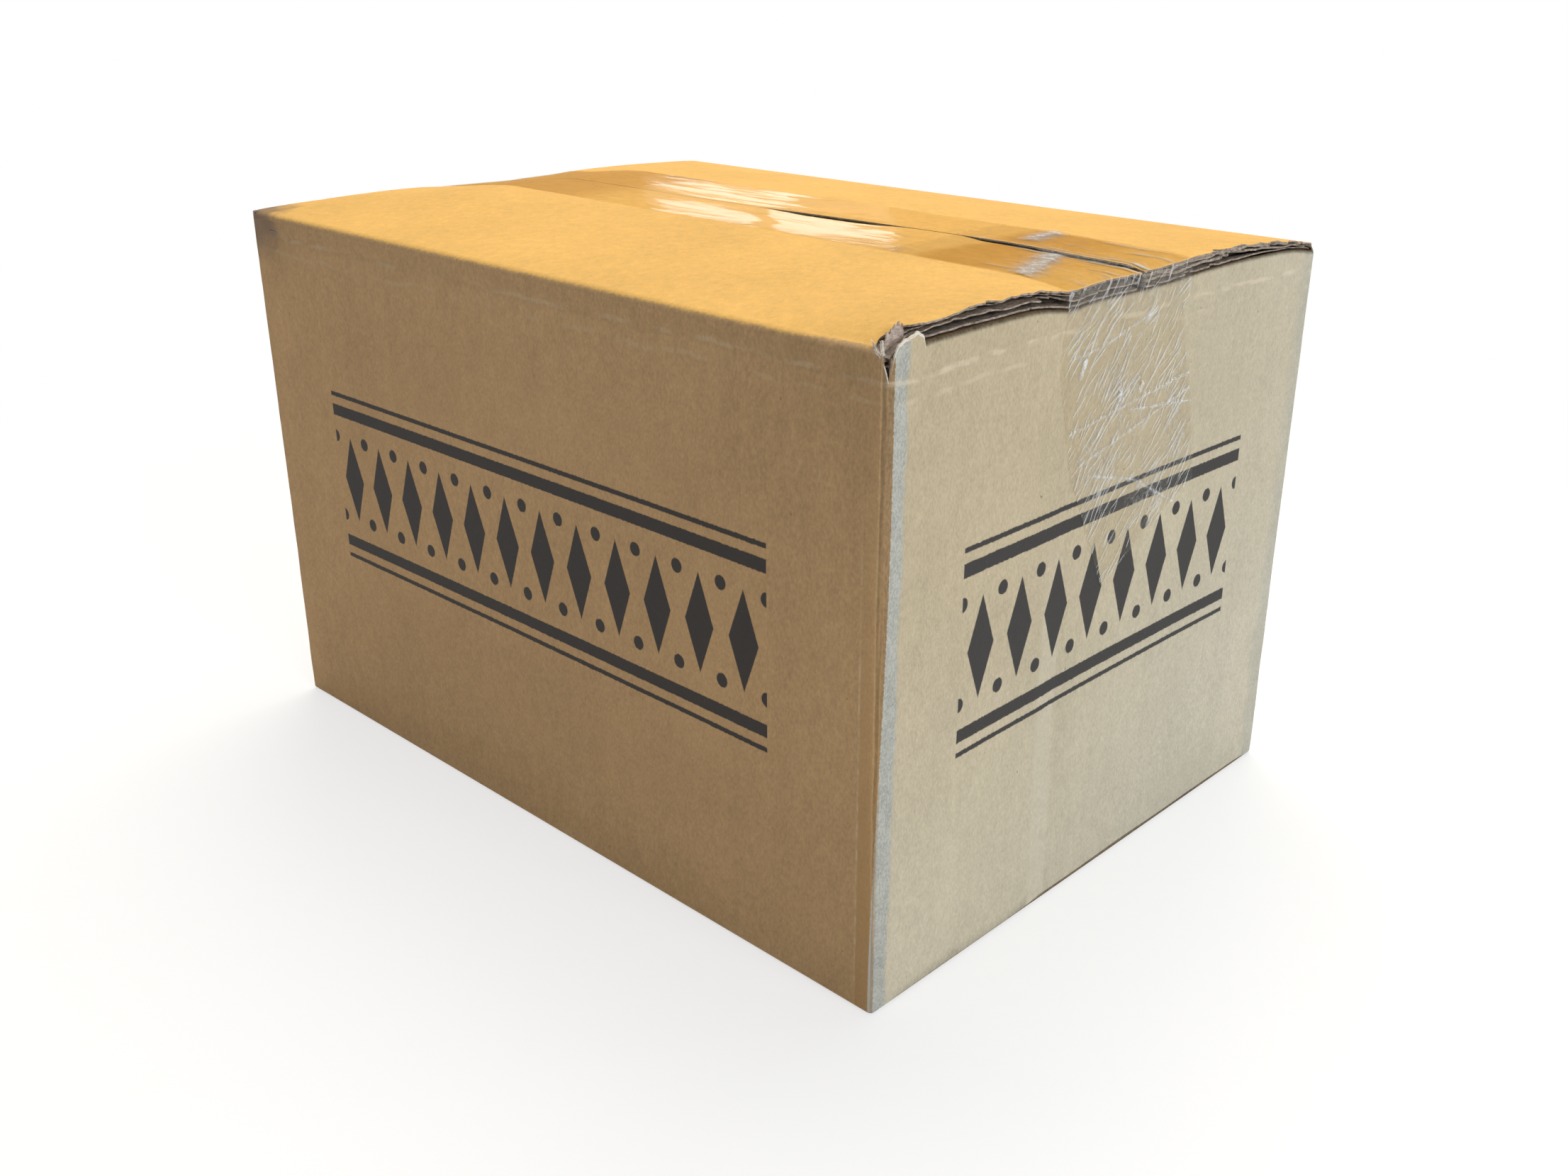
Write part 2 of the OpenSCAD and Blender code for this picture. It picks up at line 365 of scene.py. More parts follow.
def end_sheet(end):
    """Outer face of an end panel, with the folds of its inner flaps and the start of each flap."""
    high_y = HALF_W - CORNER_R - (BOARD_T if end < 0 else 0)
    y = spaced(CORNER_R - HALF_W, high_y, COLUMN_PITCH, COLUMN_FINE, 8)
    rows = [points(end * (HALF_L - inward), y, BOARD_T + INNER_GAP) for inward in (30, 16, 8, 4.2)]
    for turn in np.radians([62, 48, 34, 18]):
        inward = LOW_R * (1 - np.cos(turn))
        rows.append(points(end * (HALF_L - inward), y, LOW_R * (1 - np.sin(turn))))
    for share in PANEL_ROWS:
        z = end_z(share, y, end)
        rows.append(points(end * (HALF_L - end_dent(y, z, end)), y, z))
    top_dent = end_dent(y, end_z(1, y, end), end)
    for turn in np.linspace(0, math.pi / 2, 8)[1:]:
        inward = END_FOLD_R * (1 - np.cos(turn)) + top_dent * np.cos(turn)
        z = end_top(y, end) - END_FOLD_R * (1 - np.sin(turn))
        rows.append(points(end * (HALF_L - inward), y, z))
    for inward in (8, 13, 20, 30):
        x = end * (HALF_L - inward)
        rows.append(points(x, y, lid_height(x, y) - BOARD_T - INNER_GAP))
    return np.array(rows)


def corner_levels(end, side, turn):
    """Heights of a corner's low fold, high fold and upper end over its turn, and those of its rows."""
    torn = (end, side) == (1, -1)
    share = turn / (math.pi / 2)
    y_end = side * (HALF_W - CORNER_R)
    low, high = [side_z(s) + share * (end_z(s, y_end, end) - side_z(s)) for s in (0, 1)]
    floor = high + SLOT_FLOOR
    if side < 0:
        floor = FOLD_Z - SLOT_FLOOR * (share if torn else 0.15)
    floor = floor + 0.4 * ripple(turn * 6, 0 * turn, 1.5, end + 2 * side) * torn
    levels = [low - drop * LOW_R for drop in (0.8, 0.6, 0.4, 0.2)]
    levels += [low + s * (high - low) for s in PANEL_ROWS]
    levels += [high + t * (floor - high) for t in (0.2, 0.4, 0.6, 0.8, 1)]
    return low, high, floor, levels


def corner_strip(end, side):
    """Rounded upright corner between a side panel and an end panel: torn, crushed or with a slot."""
    torn = (end, side) == (1, -1)
    turn = np.linspace(0, math.pi / 2, 31 if torn else 13)
    low, high, floor, levels = corner_levels(end, side, turn)
    start = FOLD_Z - TEAR_REACH
    held = (floor - tear_depth(turn) * torn - start) / (floor - start)
    rows = []
    for z in levels:
        z = np.where(z > start, start + (z - start) * held, z)
        worn = 0.15 * (1 + ripple(turn * 4, z, 7, end + side)) * np.sin(2 * turn)
        under = np.clip((low - z) / LOW_R, 0, 1)
        over = np.clip((z - high) / FOLD_R, 0, 1) * (side > 0)
        tucked = LOW_R * (1 - np.sqrt(1 - under**2)) + FOLD_R * (1 - np.sqrt(1 - over**2))
        radius = CORNER_R - worn - np.minimum(tucked, CORNER_R - 0.5)
        bulge = 1 - LOW_SQUARE * smooth(1 - z / SQUARE_REACH)
        x = end * (HALF_L - CORNER_R + radius * np.sin(turn) ** bulge)
        y = side * (HALF_W - CORNER_R + radius * np.abs(np.cos(turn)) ** bulge)
        rows.append(points(x, y, z))
    if (end, side) == (-1, -1):
        tip_x = end * (HALF_L - CRUSH)
        tip = np.array([tip_x, side * (HALF_W - CRUSH), FOLD_Z + lid_rise(tip_x, CRUSH, side)])
        rows += [rows[-1] * (1 - t) + tip * t for t in (0.3, 0.6, 0.95)]
    return np.array(rows)


def closing_strip():
    """Fold of the end panel that turns in behind the back panel's raw edge, and its lap's start."""
    turn = np.linspace(0, math.pi / 2, 9)
    centre_y = HALF_W - BOARD_T - CORNER_R
    lap_x = CORNER_R - HALF_L
    x = np.r_[lap_x - CORNER_R * np.cos(turn), lap_x + np.array([4, 10])]
    y = np.r_[centre_y + CORNER_R * np.sin(turn), [centre_y + CORNER_R] * 2]
    low, high = end_z(0, centre_y, -1), end_z(1, centre_y, -1)
    levels = [low + s * (high - low) for s in PANEL_ROWS]
    floor = FOLD_Z - SLOT_FLOOR - 1
    levels = [low * 0.5, low * 0.8, *levels, (high + floor) / 2, floor]
    return np.array([points(x, y, z) for z in levels])


def grid_faces(rows, columns, start=0):
    at = start + np.arange(rows * columns).reshape(rows, columns)
    quads = np.stack([at[:-1, :-1], at[:-1, 1:], at[1:, 1:], at[1:, :-1]], axis=-1)
    return quads.reshape(-1, 4).tolist()


def joined(parts):
    """Vertices and faces of several parts as one mesh."""
    verts, faces = [], []
    for part_verts, part_faces in parts:
        faces += [[i + len(verts) for i in face] for face in part_faces]
        verts += list(part_verts)
    return verts, faces


def sheet_part(grid):
    rows, columns = grid.shape[:2]
    return grid.reshape(-1, 3).tolist(), grid_faces(rows, columns)


def facing_out(grid):
    """Grid whose faces look away from the middle of the carton."""
    row, column = grid.shape[0] // 2, grid.shape[1] // 2
    place = grid[row, column]
    normal = np.cross(grid[row, column + 1] - place, grid[row + 1, column] - place)
    return grid if normal @ (place - np.array([0, 0, FOLD_Z / 2])) > 0 else grid[::-1]


def slab_part(upper, lower):
    """Closed thin slab between two grids of the same size."""
    rows, columns = upper.shape[:2]
    count = rows * columns
    verts = upper.reshape(-1, 3).tolist() + lower.reshape(-1, 3).tolist()
    faces = grid_faces(rows, columns)
    faces += [face[::-1] for face in grid_faces(rows, columns, count)]
    at = np.arange(count).reshape(rows, columns)
    rim = np.r_[at[0, :], at[1:, -1], at[-1, -2::-1], at[-2:0:-1, 0]]
    for a, b in zip(rim, np.roll(rim, -1)):
        faces.append([int(b), int(a), int(a + count), int(b + count)])
    return verts, faces


def slab_kinds(grid, under):
    """Material numbers of a slab's faces, with one of its own for the underside."""
    count = (grid.shape[0] - 1) * (grid.shape[1] - 1)
    return [0] * count + [under] * count


def add_object(name, data):
    """New object in the scene."""
    thing = bpy.data.objects.new(name, data)
    bpy.context.scene.collection.objects.link(thing)
    return thing


def new_piece(name, part, materials, replaced=None, sharp=BOARD_SHARP, kinds=(), turn=True):
    """Mesh object in metres that rides on the part's one body, with its normals turned outwards
    if asked. The kinds are the material numbers of its faces, in order."""
    verts, faces = part
    mesh = bpy.data.meshes.new(name)
    mesh.from_pydata([[c * MM for c in v] for v in verts], [], faces)
    piece = add_object(name, mesh)
    for material in materials:
        mesh.materials.append(material)
    for face, kind in zip(mesh.polygons, kinds):
        face.material_index = kind
    tidy_normals(mesh, turn)
    soften(mesh, sharp)
    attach(piece, "root")
    if replaced:
        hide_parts(replaced)
    return piece


def tidy_normals(mesh, turn):
    edit = bmesh.new()
    edit.from_mesh(mesh)
    bmesh.ops.remove_doubles(edit, verts=edit.verts, dist=MERGE)
    if turn:
        bmesh.ops.recalc_face_normals(edit, faces=edit.faces)
    edit.to_mesh(mesh)
    edit.free()


def soften(mesh, angle):
    mesh.shade_smooth()
    mesh.set_sharp_from_angle(angle=math.radians(angle))


def make_carton_skin(sides, ends, torn):
    """The carton's outer liner: panels, folds and flaps as one sheet with a real thickness."""
    sheets = [side_sheet(-1), side_sheet(1), end_sheet(-1), end_sheet(1)]
    sheets += [corner_strip(1, -1), corner_strip(1, 1), corner_strip(-1, -1), closing_strip()]
    parts = [sheet_part(facing_out(sheet)) for sheet in sheets]
    kinds = [0 if i < 2 else 2 for i, part in enumerate(parts) for _ in part[1]]
    materials = [sides, torn, ends, torn]
    piece = new_piece("carton", joined(parts), materials, "carton", kinds=kinds, turn=False)
    thick = piece.modifiers.new("Liner", "SOLIDIFY")
    thick.thickness = SKIN_T * MM
    thick.offset = -1
    thick.material_offset_rim = 1
    done = piece.evaluated_get(bpy.context.evaluated_depsgraph_get())
    mesh = bpy.data.meshes.new_from_object(done)
    piece.modifiers.clear()
    piece.data = mesh
    soften(mesh, BOARD_SHARP)


# Layers of the board below the outer liner: depth, thickness, set back from the raw edge, tear size,
# waviness. Flutes: depth, height, pitch, set back
LAYERS = {
    "loose": (LINER_T + 0.8, 0.25, 2.0, 2.8, 0.6),
    "middle": (LINER_T + OUTER_FLUTE, 0.4, 0.2, 1.5, 0.45),
    "inner": (BOARD_T - LINER_T, LINER_T, 0.5, 0.6, 0.15),
}
CRUSHED_LAYERS = {
    "loose": (LINER_T + 0.35, 1.0, 0.5, 1.6, 0.5),
    "middle": (LINER_T + OUTER_FLUTE, 0.7, 0.1, 1.3, 0.4),
    "inner": (BOARD_T - LINER_T, LINER_T, 0.4, 0.8, 0.2),
}
LAYER_REACH = 14.0
FLUTES = {
    "outer": (LINER_T, OUTER_FLUTE, 5.2, 4.0),
    "inner": (LINER_T + OUTER_FLUTE + 0.45, INNER_FLUTE, FLUTE_PITCH, 3.2),
}
FLUTE_T = 0.25


def layer_grid(end, top, back, size, seed):
    """Places along a raw edge, row by row: X, the run over the fold, and the share outwards."""
    run = np.arange(1.5, (FLAP_RUN if top else LOW_RUN) - 0.3, 0.75)[:, None]
    share = np.r_[0, 0.3, 0.55, 0.72, 0.83, 0.9, 0.95, 0.98, 1][None, :]
    edge_x = TOP_EDGE_X if top else BOTTOM_EDGE_X
    half = edge_x - back + ragged(run, size if top else size * 0.4, seed)
    x = end * (half - LAYER_REACH * (1 - share))
    return x, run + 0 * share, share


def edge_slab(x, run, side, top, depth, thick, curl=0.0):
    """Slab below the outer face of a flap, squeezed with the flap's raw edge."""
    inward = FOLD_R + np.maximum(run - FOLD_ARC, 0)
    squeeze = edge_thickness(x, inward, side) / BOARD_T if top else 1.0
    faces = [flap_point(x, run, d * squeeze + curl, side, top) for d in (depth, depth + thick)]
    return slab_part(*faces)


def edge_layer(end, side, top, depth, thick, back, size, wavy, seed):
    """One liner of a flap along its raw edge, frayed and slightly curled at the edge."""
    x, run, share = layer_grid(end, top, back, size, seed)
    place = seed + 0 * run
    wave = ripple(run, place, 8, seed) + 0.5 * ripple(run, place, 2.7, seed)
    return edge_slab(x, run, side, top, depth, thick, wavy * wave * share**4 * top)


def edge_flutes(end, side, top, depth, high, pitch, back, seed):
    """Wavy paper between two liners along a raw edge."""
    x, run, _ = layer_grid(end, top, back, 0.8, seed)
    drift = 1.2 * ripple(run, seed + 0 * run, 25, seed + 1)
    wave = 0.5 + 0.5 * np.sin(2 * math.pi * x / pitch + drift)
    return edge_slab(x, run, side, top, depth + wave * (high - FLUTE_T), FLUTE_T)


def closing_layers():
    """Liners of the back panel along its raw upright edge."""
    parts = []
    z = np.linspace(FOLD_R, FOLD_Z - FOLD_R, 90)[:, None]
    share = np.r_[0, 0.5, 0.8, 0.95, 1][None, :]
    for seed, (depth, thick, back, size, _) in enumerate(LAYERS.values()):
        half = HALF_L - LAP_STEP - back + ragged(z, size * 0.4, seed + 20)
        x = -(half - LAYER_REACH * (1 - share))
        y = HALF_W - depth + 0 * x
        parts.append(slab_part(points(x, y, z), points(x, y - thick, z)))
    return parts


def make_raw_edges(torn, flute_shade):
    """Liners and flutes that show along the raw edges of the outer flaps and the glued corner."""
    liners, flutes = closing_layers(), []
    seed = 30
    for top in (True, False):
        for end in (-1, 1):
            for side in (-1, 1):
                layers = CRUSHED_LAYERS if (top, end, side) == (True, 1, 1) else LAYERS
                for layer in layers.values():
                    seed += 1
                    liners.append(edge_layer(end, side, top, *layer, seed))
                for flute in FLUTES.values():
                    seed += 1
                    flutes.append(edge_flutes(end, side, top, *flute, seed))
    new_piece("raw_edge_liners", joined(liners), [torn])
    new_piece("raw_edge_flutes", joined(flutes), [flute_shade])


def scrap_part(corner, along, up, size, curl, seed):
    """Small torn piece of liner: a curled sheet with a ragged outline."""
    s, t = np.meshgrid(np.linspace(0, 1, 11), np.linspace(0, 1, 11))
    rough = 0.12 * ripple(s * 9, t * 9, 2, seed)
    width = s + (rough + 0.06 * ripple(t * 9, s, 1.1, seed + 1)) * (s > 0.9)
    height = t * (0.8 + 0.3 * ripple(s * 9, 0 * s, 2.2, seed + 2)) + rough * (t > 0.9)
    along, up = np.array(along, float), np.array(up, float)
    out = np.cross(along, up)
    out = out / np.linalg.norm(out)
    bend = curl * t**2 + 0.25 * ripple(s * 5, t * 5, 2, seed + 4)
    upper = np.array(corner) + width[..., None] * size[0] * along
    upper = upper + height[..., None] * size[1] * up + bend[..., None] * out
    return slab_part(upper, upper - 0.35 * out)


# Torn bits at the front corner: lower corner, direction along, direction up, width and height, curl
TUFTS = [
    ((112.6, -78.0, 142.4), (0, 1, 0), (-0.02, 0.1, 1), (3.2, 7.2), -0.4),
    ((112.2, -80.0, 142.2), (0.1, 0.95, 0), (-0.05, 0.05, 1), (2.3, 6.6), 0.5),
    ((113.9, -80.6, 140.2), (0.2, 0.95, 0), (-0.12, 0.3, 0.93), (1.8, 5.2), 0.4),
]
SLIVERS = [
    ((112.9, -80.8, 142.4), (0.4, 0.8, 0), (-0.05, -0.2, 1), (0.8, 4.6), 0.3),
    ((113.4, -81.6, 143.0), (0.7, 0.4, 0), (-0.75, 0.05, 0.8), (0.8, 4.4), -0.3),
]
# Torn border of the liner left of the tear, from the lid down to the tip, and its width
LIP = [
    (110.6, -80.6, 145.15), (111.4, -81.25, 144.95), (112.6, -81.95, 144.5),
    (113.8, -82.4, 143.75), (114.7, -82.36, 142.3), (115.05, -82.1, 140.8), (115.3, -81.75, 139.0),
]
LIP_WIDE = (-0.55, -0.02, -0.2)
LIP_OUT = (0.2, -0.9, 0.4)
# Outline of the torn tab on the taped end panel, as places in Y and Z
TAB = [
    (-81.2, 141.0), (-80.5, 143.6), (-79.2, 145.8), (-77, 146.6),
    (-75.3, 147.0), (-73.8, 147.4), (-72.2, 146.4), (-71.6, 144.0),
]
TAB_BASE = 138.5
TAB_T = 0.35


def lip_part():
    """Thin pale border along the torn liner."""
    edge = along_line(LIP, 40)[:, None, :]
    share = np.array([0, 0.5, 1])[None, :, None]
    rough = 1 + 0.6 * ripple(np.arange(40) * 0.35, np.zeros(40), 1.2, 6)
    upper = edge + share * rough[:, None, None] * np.array(LIP_WIDE)
    return slab_part(upper, upper - TAB_T * np.array(LIP_OUT))


def make_torn_corner(board, tuft, pale):
    tufts = [scrap_part(*place, 70 + i) for i, place in enumerate(TUFTS)]
    new_piece("torn_tufts", joined(tufts), [tuft])
    slivers = [scrap_part(*place, 80 + i) for i, place in enumerate(SLIVERS)]
    new_piece("torn_lip", joined([lip_part(), *slivers]), [pale])
    y = np.linspace(TAB[0][0], TAB[-1][0], 37)[None, :]
    rise = np.linspace(0, 1, 15)[:, None]
    outline = np.interp(y, *np.array(TAB).T) + 0.3 * ripple(y, 0 * y, 1.1, 5)
    z = TAB_BASE + rise * (outline - TAB_BASE)
    face = HALF_L - 0.02 - (end_dent(y, TAB_BASE + 0 * y, 1) + 0.15) * (1 - smooth(rise * 1.6))
    front = points(face, y, z)
    part = slab_part(front, points(face - TAB_T, y, z))
    kinds = slab_kinds(front, 1)
    kinds += [1] * (len(part[1]) - len(kinds))
    border = y.size - 1
    kinds[(rise.size - 2) * border:(rise.size - 1) * border] = [1] * border
    new_piece("torn_tab", part, [board, pale], kinds=kinds)


# Tape: thickness, sharpest smooth angle, lift of both strips, middle and its drift along X
TAPE_T = 0.1
TAPE_SHARP = 70
LIFTS = (0.05, 0.2)
TAPE_MIDDLE = 0.5
TAPE_DRIFT = -0.02
OVERLAP_START = 63.5
START_SKEW = -0.065
BACK_DROP = 45.0
TAIL_COLUMNS = 140
# Crease and haze strengths where the second strip goes over the raw edge: a pale smear, partly milky
# film and partly painted sheen
OVER_MARKS = (0.1, 0.25)
# Edges of the tape's tail on the end panel, as places in Y and Z from the fold down
TAIL_NEAR = [(-26.5, 138), (-26.5, 129.6), (-19, 105.9), (-3.3, 76.3)]
TAIL_FAR = [(21.5, 138), (22.5, 132), (29, 114.8), (33.6, 94.3)]
# Bright streaks across the second strip, as lines in X and Y
LID_STREAKS = [[(102.0, -23.3), (97.3, -11.2), (92.8, -1.5)], [(80.0, 10.4), (77.7, 24.7)]]
# Sharp creases in the tail, as lines in Y and Z
CREASES = [
    [(-21.2, 116.3), (29.5, 121.9)],
    [(-16.1, 108.4), (4.0, 112.5), (27.3, 117.8)],
    [(3.3, 117.2), (29.0, 114.4)],
    [(-23.2, 132.9), (-10.9, 133.8), (0.2, 136.5), (11.7, 139.1)],
    [(-15.8, 109.6), (4.8, 124.3)],
    [(-11.0, 104.7), (6.0, 100.2), (26.9, 89.2)],
    [(12.5, 144.5), (13.6, 138.9), (20.8, 139.6)],
]
# Short bright glints in the tail, as lines in Y and Z
GLINTS = [
    [(-18.8, 128.6), (-17.2, 132.0)],
    [(5.4, 121.2), (6.3, 122.7)],
    [(4.6, 100.2), (6.0, 101.5)],
    [(-2.6, 120.6), (-2.2, 122.6)],
    [(8.2, 97.9), (9.6, 98.6)],
]
# Milky patches where the tail has lifted off: Y, Z and radius
HAZE = [(-8, 108, 8), (24, 105, 6), (2, 115, 6), (-2, 126, 7), (14, 96, 7)]


def lid_tape(x, y, lift):
    """Height of tape that lies on the lid."""
    return lid_height(x, y, seam_middle(x)) + lift


def tape_wrinkles(x, y, seed):
    """Small waves of tape on the lid, mostly along its length."""
    long = ripple(x / 5, y, 5, seed)
    short = ripple(x, y, 9, seed + 1)
    return 0.08 * np.abs(long) + 0.05 * np.abs(short)


def over_end(y, lift, end):
    """Tape from a raw edge down to the end panel, as four rows of places."""
    top = lid_tape(end * TOP_EDGE_X, y, lift)
    rows = [points(end * (TOP_EDGE_X + out), y, top - down) for out, down in ((0.3, 0.15), (0.5, 0.8))]
    return rows + [points(end * (HALF_L - 0.25), y, FOLD_Z - down) for down in (2.5, 5)]


def outward(grid, amount):
    """Grid moved out along its own normals, away from the middle of the carton."""
    du = np.gradient(grid, axis=0)
    dv = np.gradient(grid, axis=1)
    normal = np.cross(du, dv)
    normal = normal / np.linalg.norm(normal, axis=-1, keepdims=True)
    away = grid - np.array([0, 0, FOLD_Z / 2])
    facing = np.sign(np.sum(normal * away, axis=-1, keepdims=True))
    return grid + facing * normal * amount


def along_line(line, count):
    """Places at even steps along a line of points."""
    line = np.array(line, float)
    length = np.r_[0, np.cumsum(np.linalg.norm(np.diff(line, axis=0), axis=1))]
    at = np.linspace(0, length[-1], count)
    return np.stack([np.interp(at, length, line[:, i]) for i in range(line.shape[1])], axis=-1)


def line_distance(y, z, line):
    best = np.full(y.shape, 1e3)
    for (y0, z0), (y1, z1) in zip(line[:-1], line[1:]):
        run = np.array([y1 - y0, z1 - z0])
        t = np.clip(((y - y0) * run[0] + (z - z0) * run[1]) / (run @ run), 0, 1)
        best = np.minimum(best, np.hypot(y - y0 - t * run[0], z - z0 - t * run[1]))
    return best


def tape_piece(name, rows, film):
    """Strip of tape with its underside on rows of places."""
    lower = np.array(rows)
    part = slab_part(outward(lower, TAPE_T), lower)
    return new_piece(name, part, film, name, TAPE_SHARP, slab_kinds(lower, 1))


def make_seam_tape(film):
    u = np.linspace(-1, 1, 61)
    xs = np.linspace(-TOP_EDGE_X + 0.6, TOP_EDGE_X - 0.4, 200)
    rows = []
    y = TAPE_MIDDLE + TAPE_DRIFT * -HALF_L + TAPE_HALF * u
    for z in np.linspace(FOLD_Z - BACK_DROP, FOLD_Z - 7, 40):
        face = HALF_L - end_dent(y, z + 0 * y, -1)
        rows.append(points(-(face + 0.06 + 0.2 * np.abs(ripple(y, z + 0 * y, 9, 4))), y, z))
    rows += over_end(y, LIFTS[0], -1)[::-1]
    for x in xs:
        y = TAPE_MIDDLE + TAPE_DRIFT * x + TAPE_HALF * u
        rows.append(points(x, y, lid_tape(x, y, LIFTS[0]) + tape_wrinkles(x, y, 1)))
    tape_piece("seam_tape", rows, film)


def tail_grid(columns, count):
    """Places in Y and Z over the tape's tail, between its two edges."""
    near, far = along_line(TAIL_NEAR, count), along_line(TAIL_FAR, count)
    u = np.linspace(0, 1, columns)[None, :]
    return [near[:, i:i + 1] + (far - near)[:, i:i + 1] * u for i in (0, 1)]


def tail_marks(y, z):
    """Crease and haze strengths over the tail; the crease strength also holds the painted glints."""
    crease = np.zeros(y.shape)
    for line in CREASES:
        crease = np.maximum(crease, line_groove(line_distance(y, z, line), 0.3))
    for line in GLINTS:
        crease = np.maximum(crease, 2.2 * line_groove(line_distance(y, z, line), 0.45))
    haze = np.zeros(y.shape)
    for cy, cz, radius in HAZE:
        haze = np.maximum(haze, np.exp(-((y - cy) ** 2 + (z - cz) ** 2) / radius**2))
    return crease, haze


def overlap_rows(u):
    """Second strip on the lid: rows of places, and the crease and haze strengths of each row."""
    rows, marks = [], []
    for t in np.linspace(0, 1, 70):
        y = TAPE_MIDDLE + TAPE_HALF * u
        start = OVERLAP_START + START_SKEW * y
        x = start + t * (TOP_EDGE_X - 0.4 - start)
        y = y + TAPE_DRIFT * x
        away = np.minimum(*[line_distance(x, y, line) for line in LID_STREAKS])
        streak = line_groove(away + 0.8 * ripple(x, y, 2.5, 6), 2.8)
        rows.append(points(x, y, lid_tape(x, y, LIFTS[1]) + tape_wrinkles(x, y, 2) + 0.2 * streak))
        marks.append((1.9 * streak, 0 * u))
    return rows, marks


def tail_rows():
    """Crumpled tail on the end panel: rows of places, and the crease and haze strengths of each row."""
    y, z = tail_grid(TAIL_COLUMNS, 170)
    crease, haze = tail_marks(y, z)
    lifted = smooth((FOLD_Z - 6 - z) / 8)
    crumple = 0.5 * np.abs(ripple(y - 0.6 * z, z + 0.5 * y, 6.5, 8))
    crumple = crumple + 0.25 * np.abs(ripple(y + 0.8 * z, z, 3.4, 9))
    proud = 0.08 + lifted * (0.3 * crease + 0.55 * crumple)
    face = HALF_L - end_dent(y, z, 1)
    return list(points(np.minimum(face + proud, HALF_L - 0.02), y, z)), list(zip(crease, haze))


def make_end_tape(film):
    u = np.linspace(-1, 1, TAIL_COLUMNS)
    rows, marks = overlap_rows(u)
    over = over_end(TAPE_MIDDLE + TAPE_DRIFT * TOP_EDGE_X + TAPE_HALF * u, LIFTS[1], 1)
    tail, strengths = tail_rows()
    piece = tape_piece("end_tape", rows + over + tail, film)
    marks += [[mark + 0 * u for mark in OVER_MARKS]] * len(over) + strengths
    for i, name in enumerate(("crease", "haze")):
        values = np.concatenate([mark[i] for mark in marks])
        layer = piece.data.attributes.new(name, "FLOAT", "POINT")
        layer.data.foreach_set("value", np.r_[values, values].astype(np.float32))


def make_bottom_tape(film):
    x = np.linspace(-BOTTOM_TAPE_X, BOTTOM_TAPE_X, 70)[:, None]
    y = np.linspace(-TAPE_HALF, TAPE_HALF, 20)[None, :]
    part = slab_part(points(x, y, TAPE_T), points(x, y, 0))
    new_piece("bottom_tape", part, film[:1], "bottom_tape", TAPE_SHARP)


class Value:
    """Number in a node tree, which takes the usual arithmetic."""

    def __init__(self, shader, socket):
        self.shader = shader
        self.socket = socket

    def __add__(self, other):
        return self.shader.math("ADD", self, other)

    def __sub__(self, other):
        return self.shader.math("SUBTRACT", self, other)

    def __rsub__(self, other):
        return self.shader.math("SUBTRACT", other, self)

    def __mul__(self, other):
        return self.shader.math("MULTIPLY", self, other)

    def __mod__(self, other):
        return self.shader.math("FLOORED_MODULO", self, other)

    def __pow__(self, other):
        return self.shader.math("POWER", self, other)

    def __abs__(self):
        return self.shader.math("ABSOLUTE", self)

    __radd__ = __add__
    __rmul__ = __mul__

    def step(self, low, high):
        """Smooth step from 0 at low to 1 at high, or down if low is above high."""
        inputs = {"Value": self, "From Min": min(low, high), "From Max": max(low, high)}
        inputs.update({"To Min": float(low > high), "To Max": float(low < high)})
        node = self.shader.node("MapRange", inputs, interpolation_type="SMOOTHSTEP")
        return Value(self.shader, node.outputs[0])


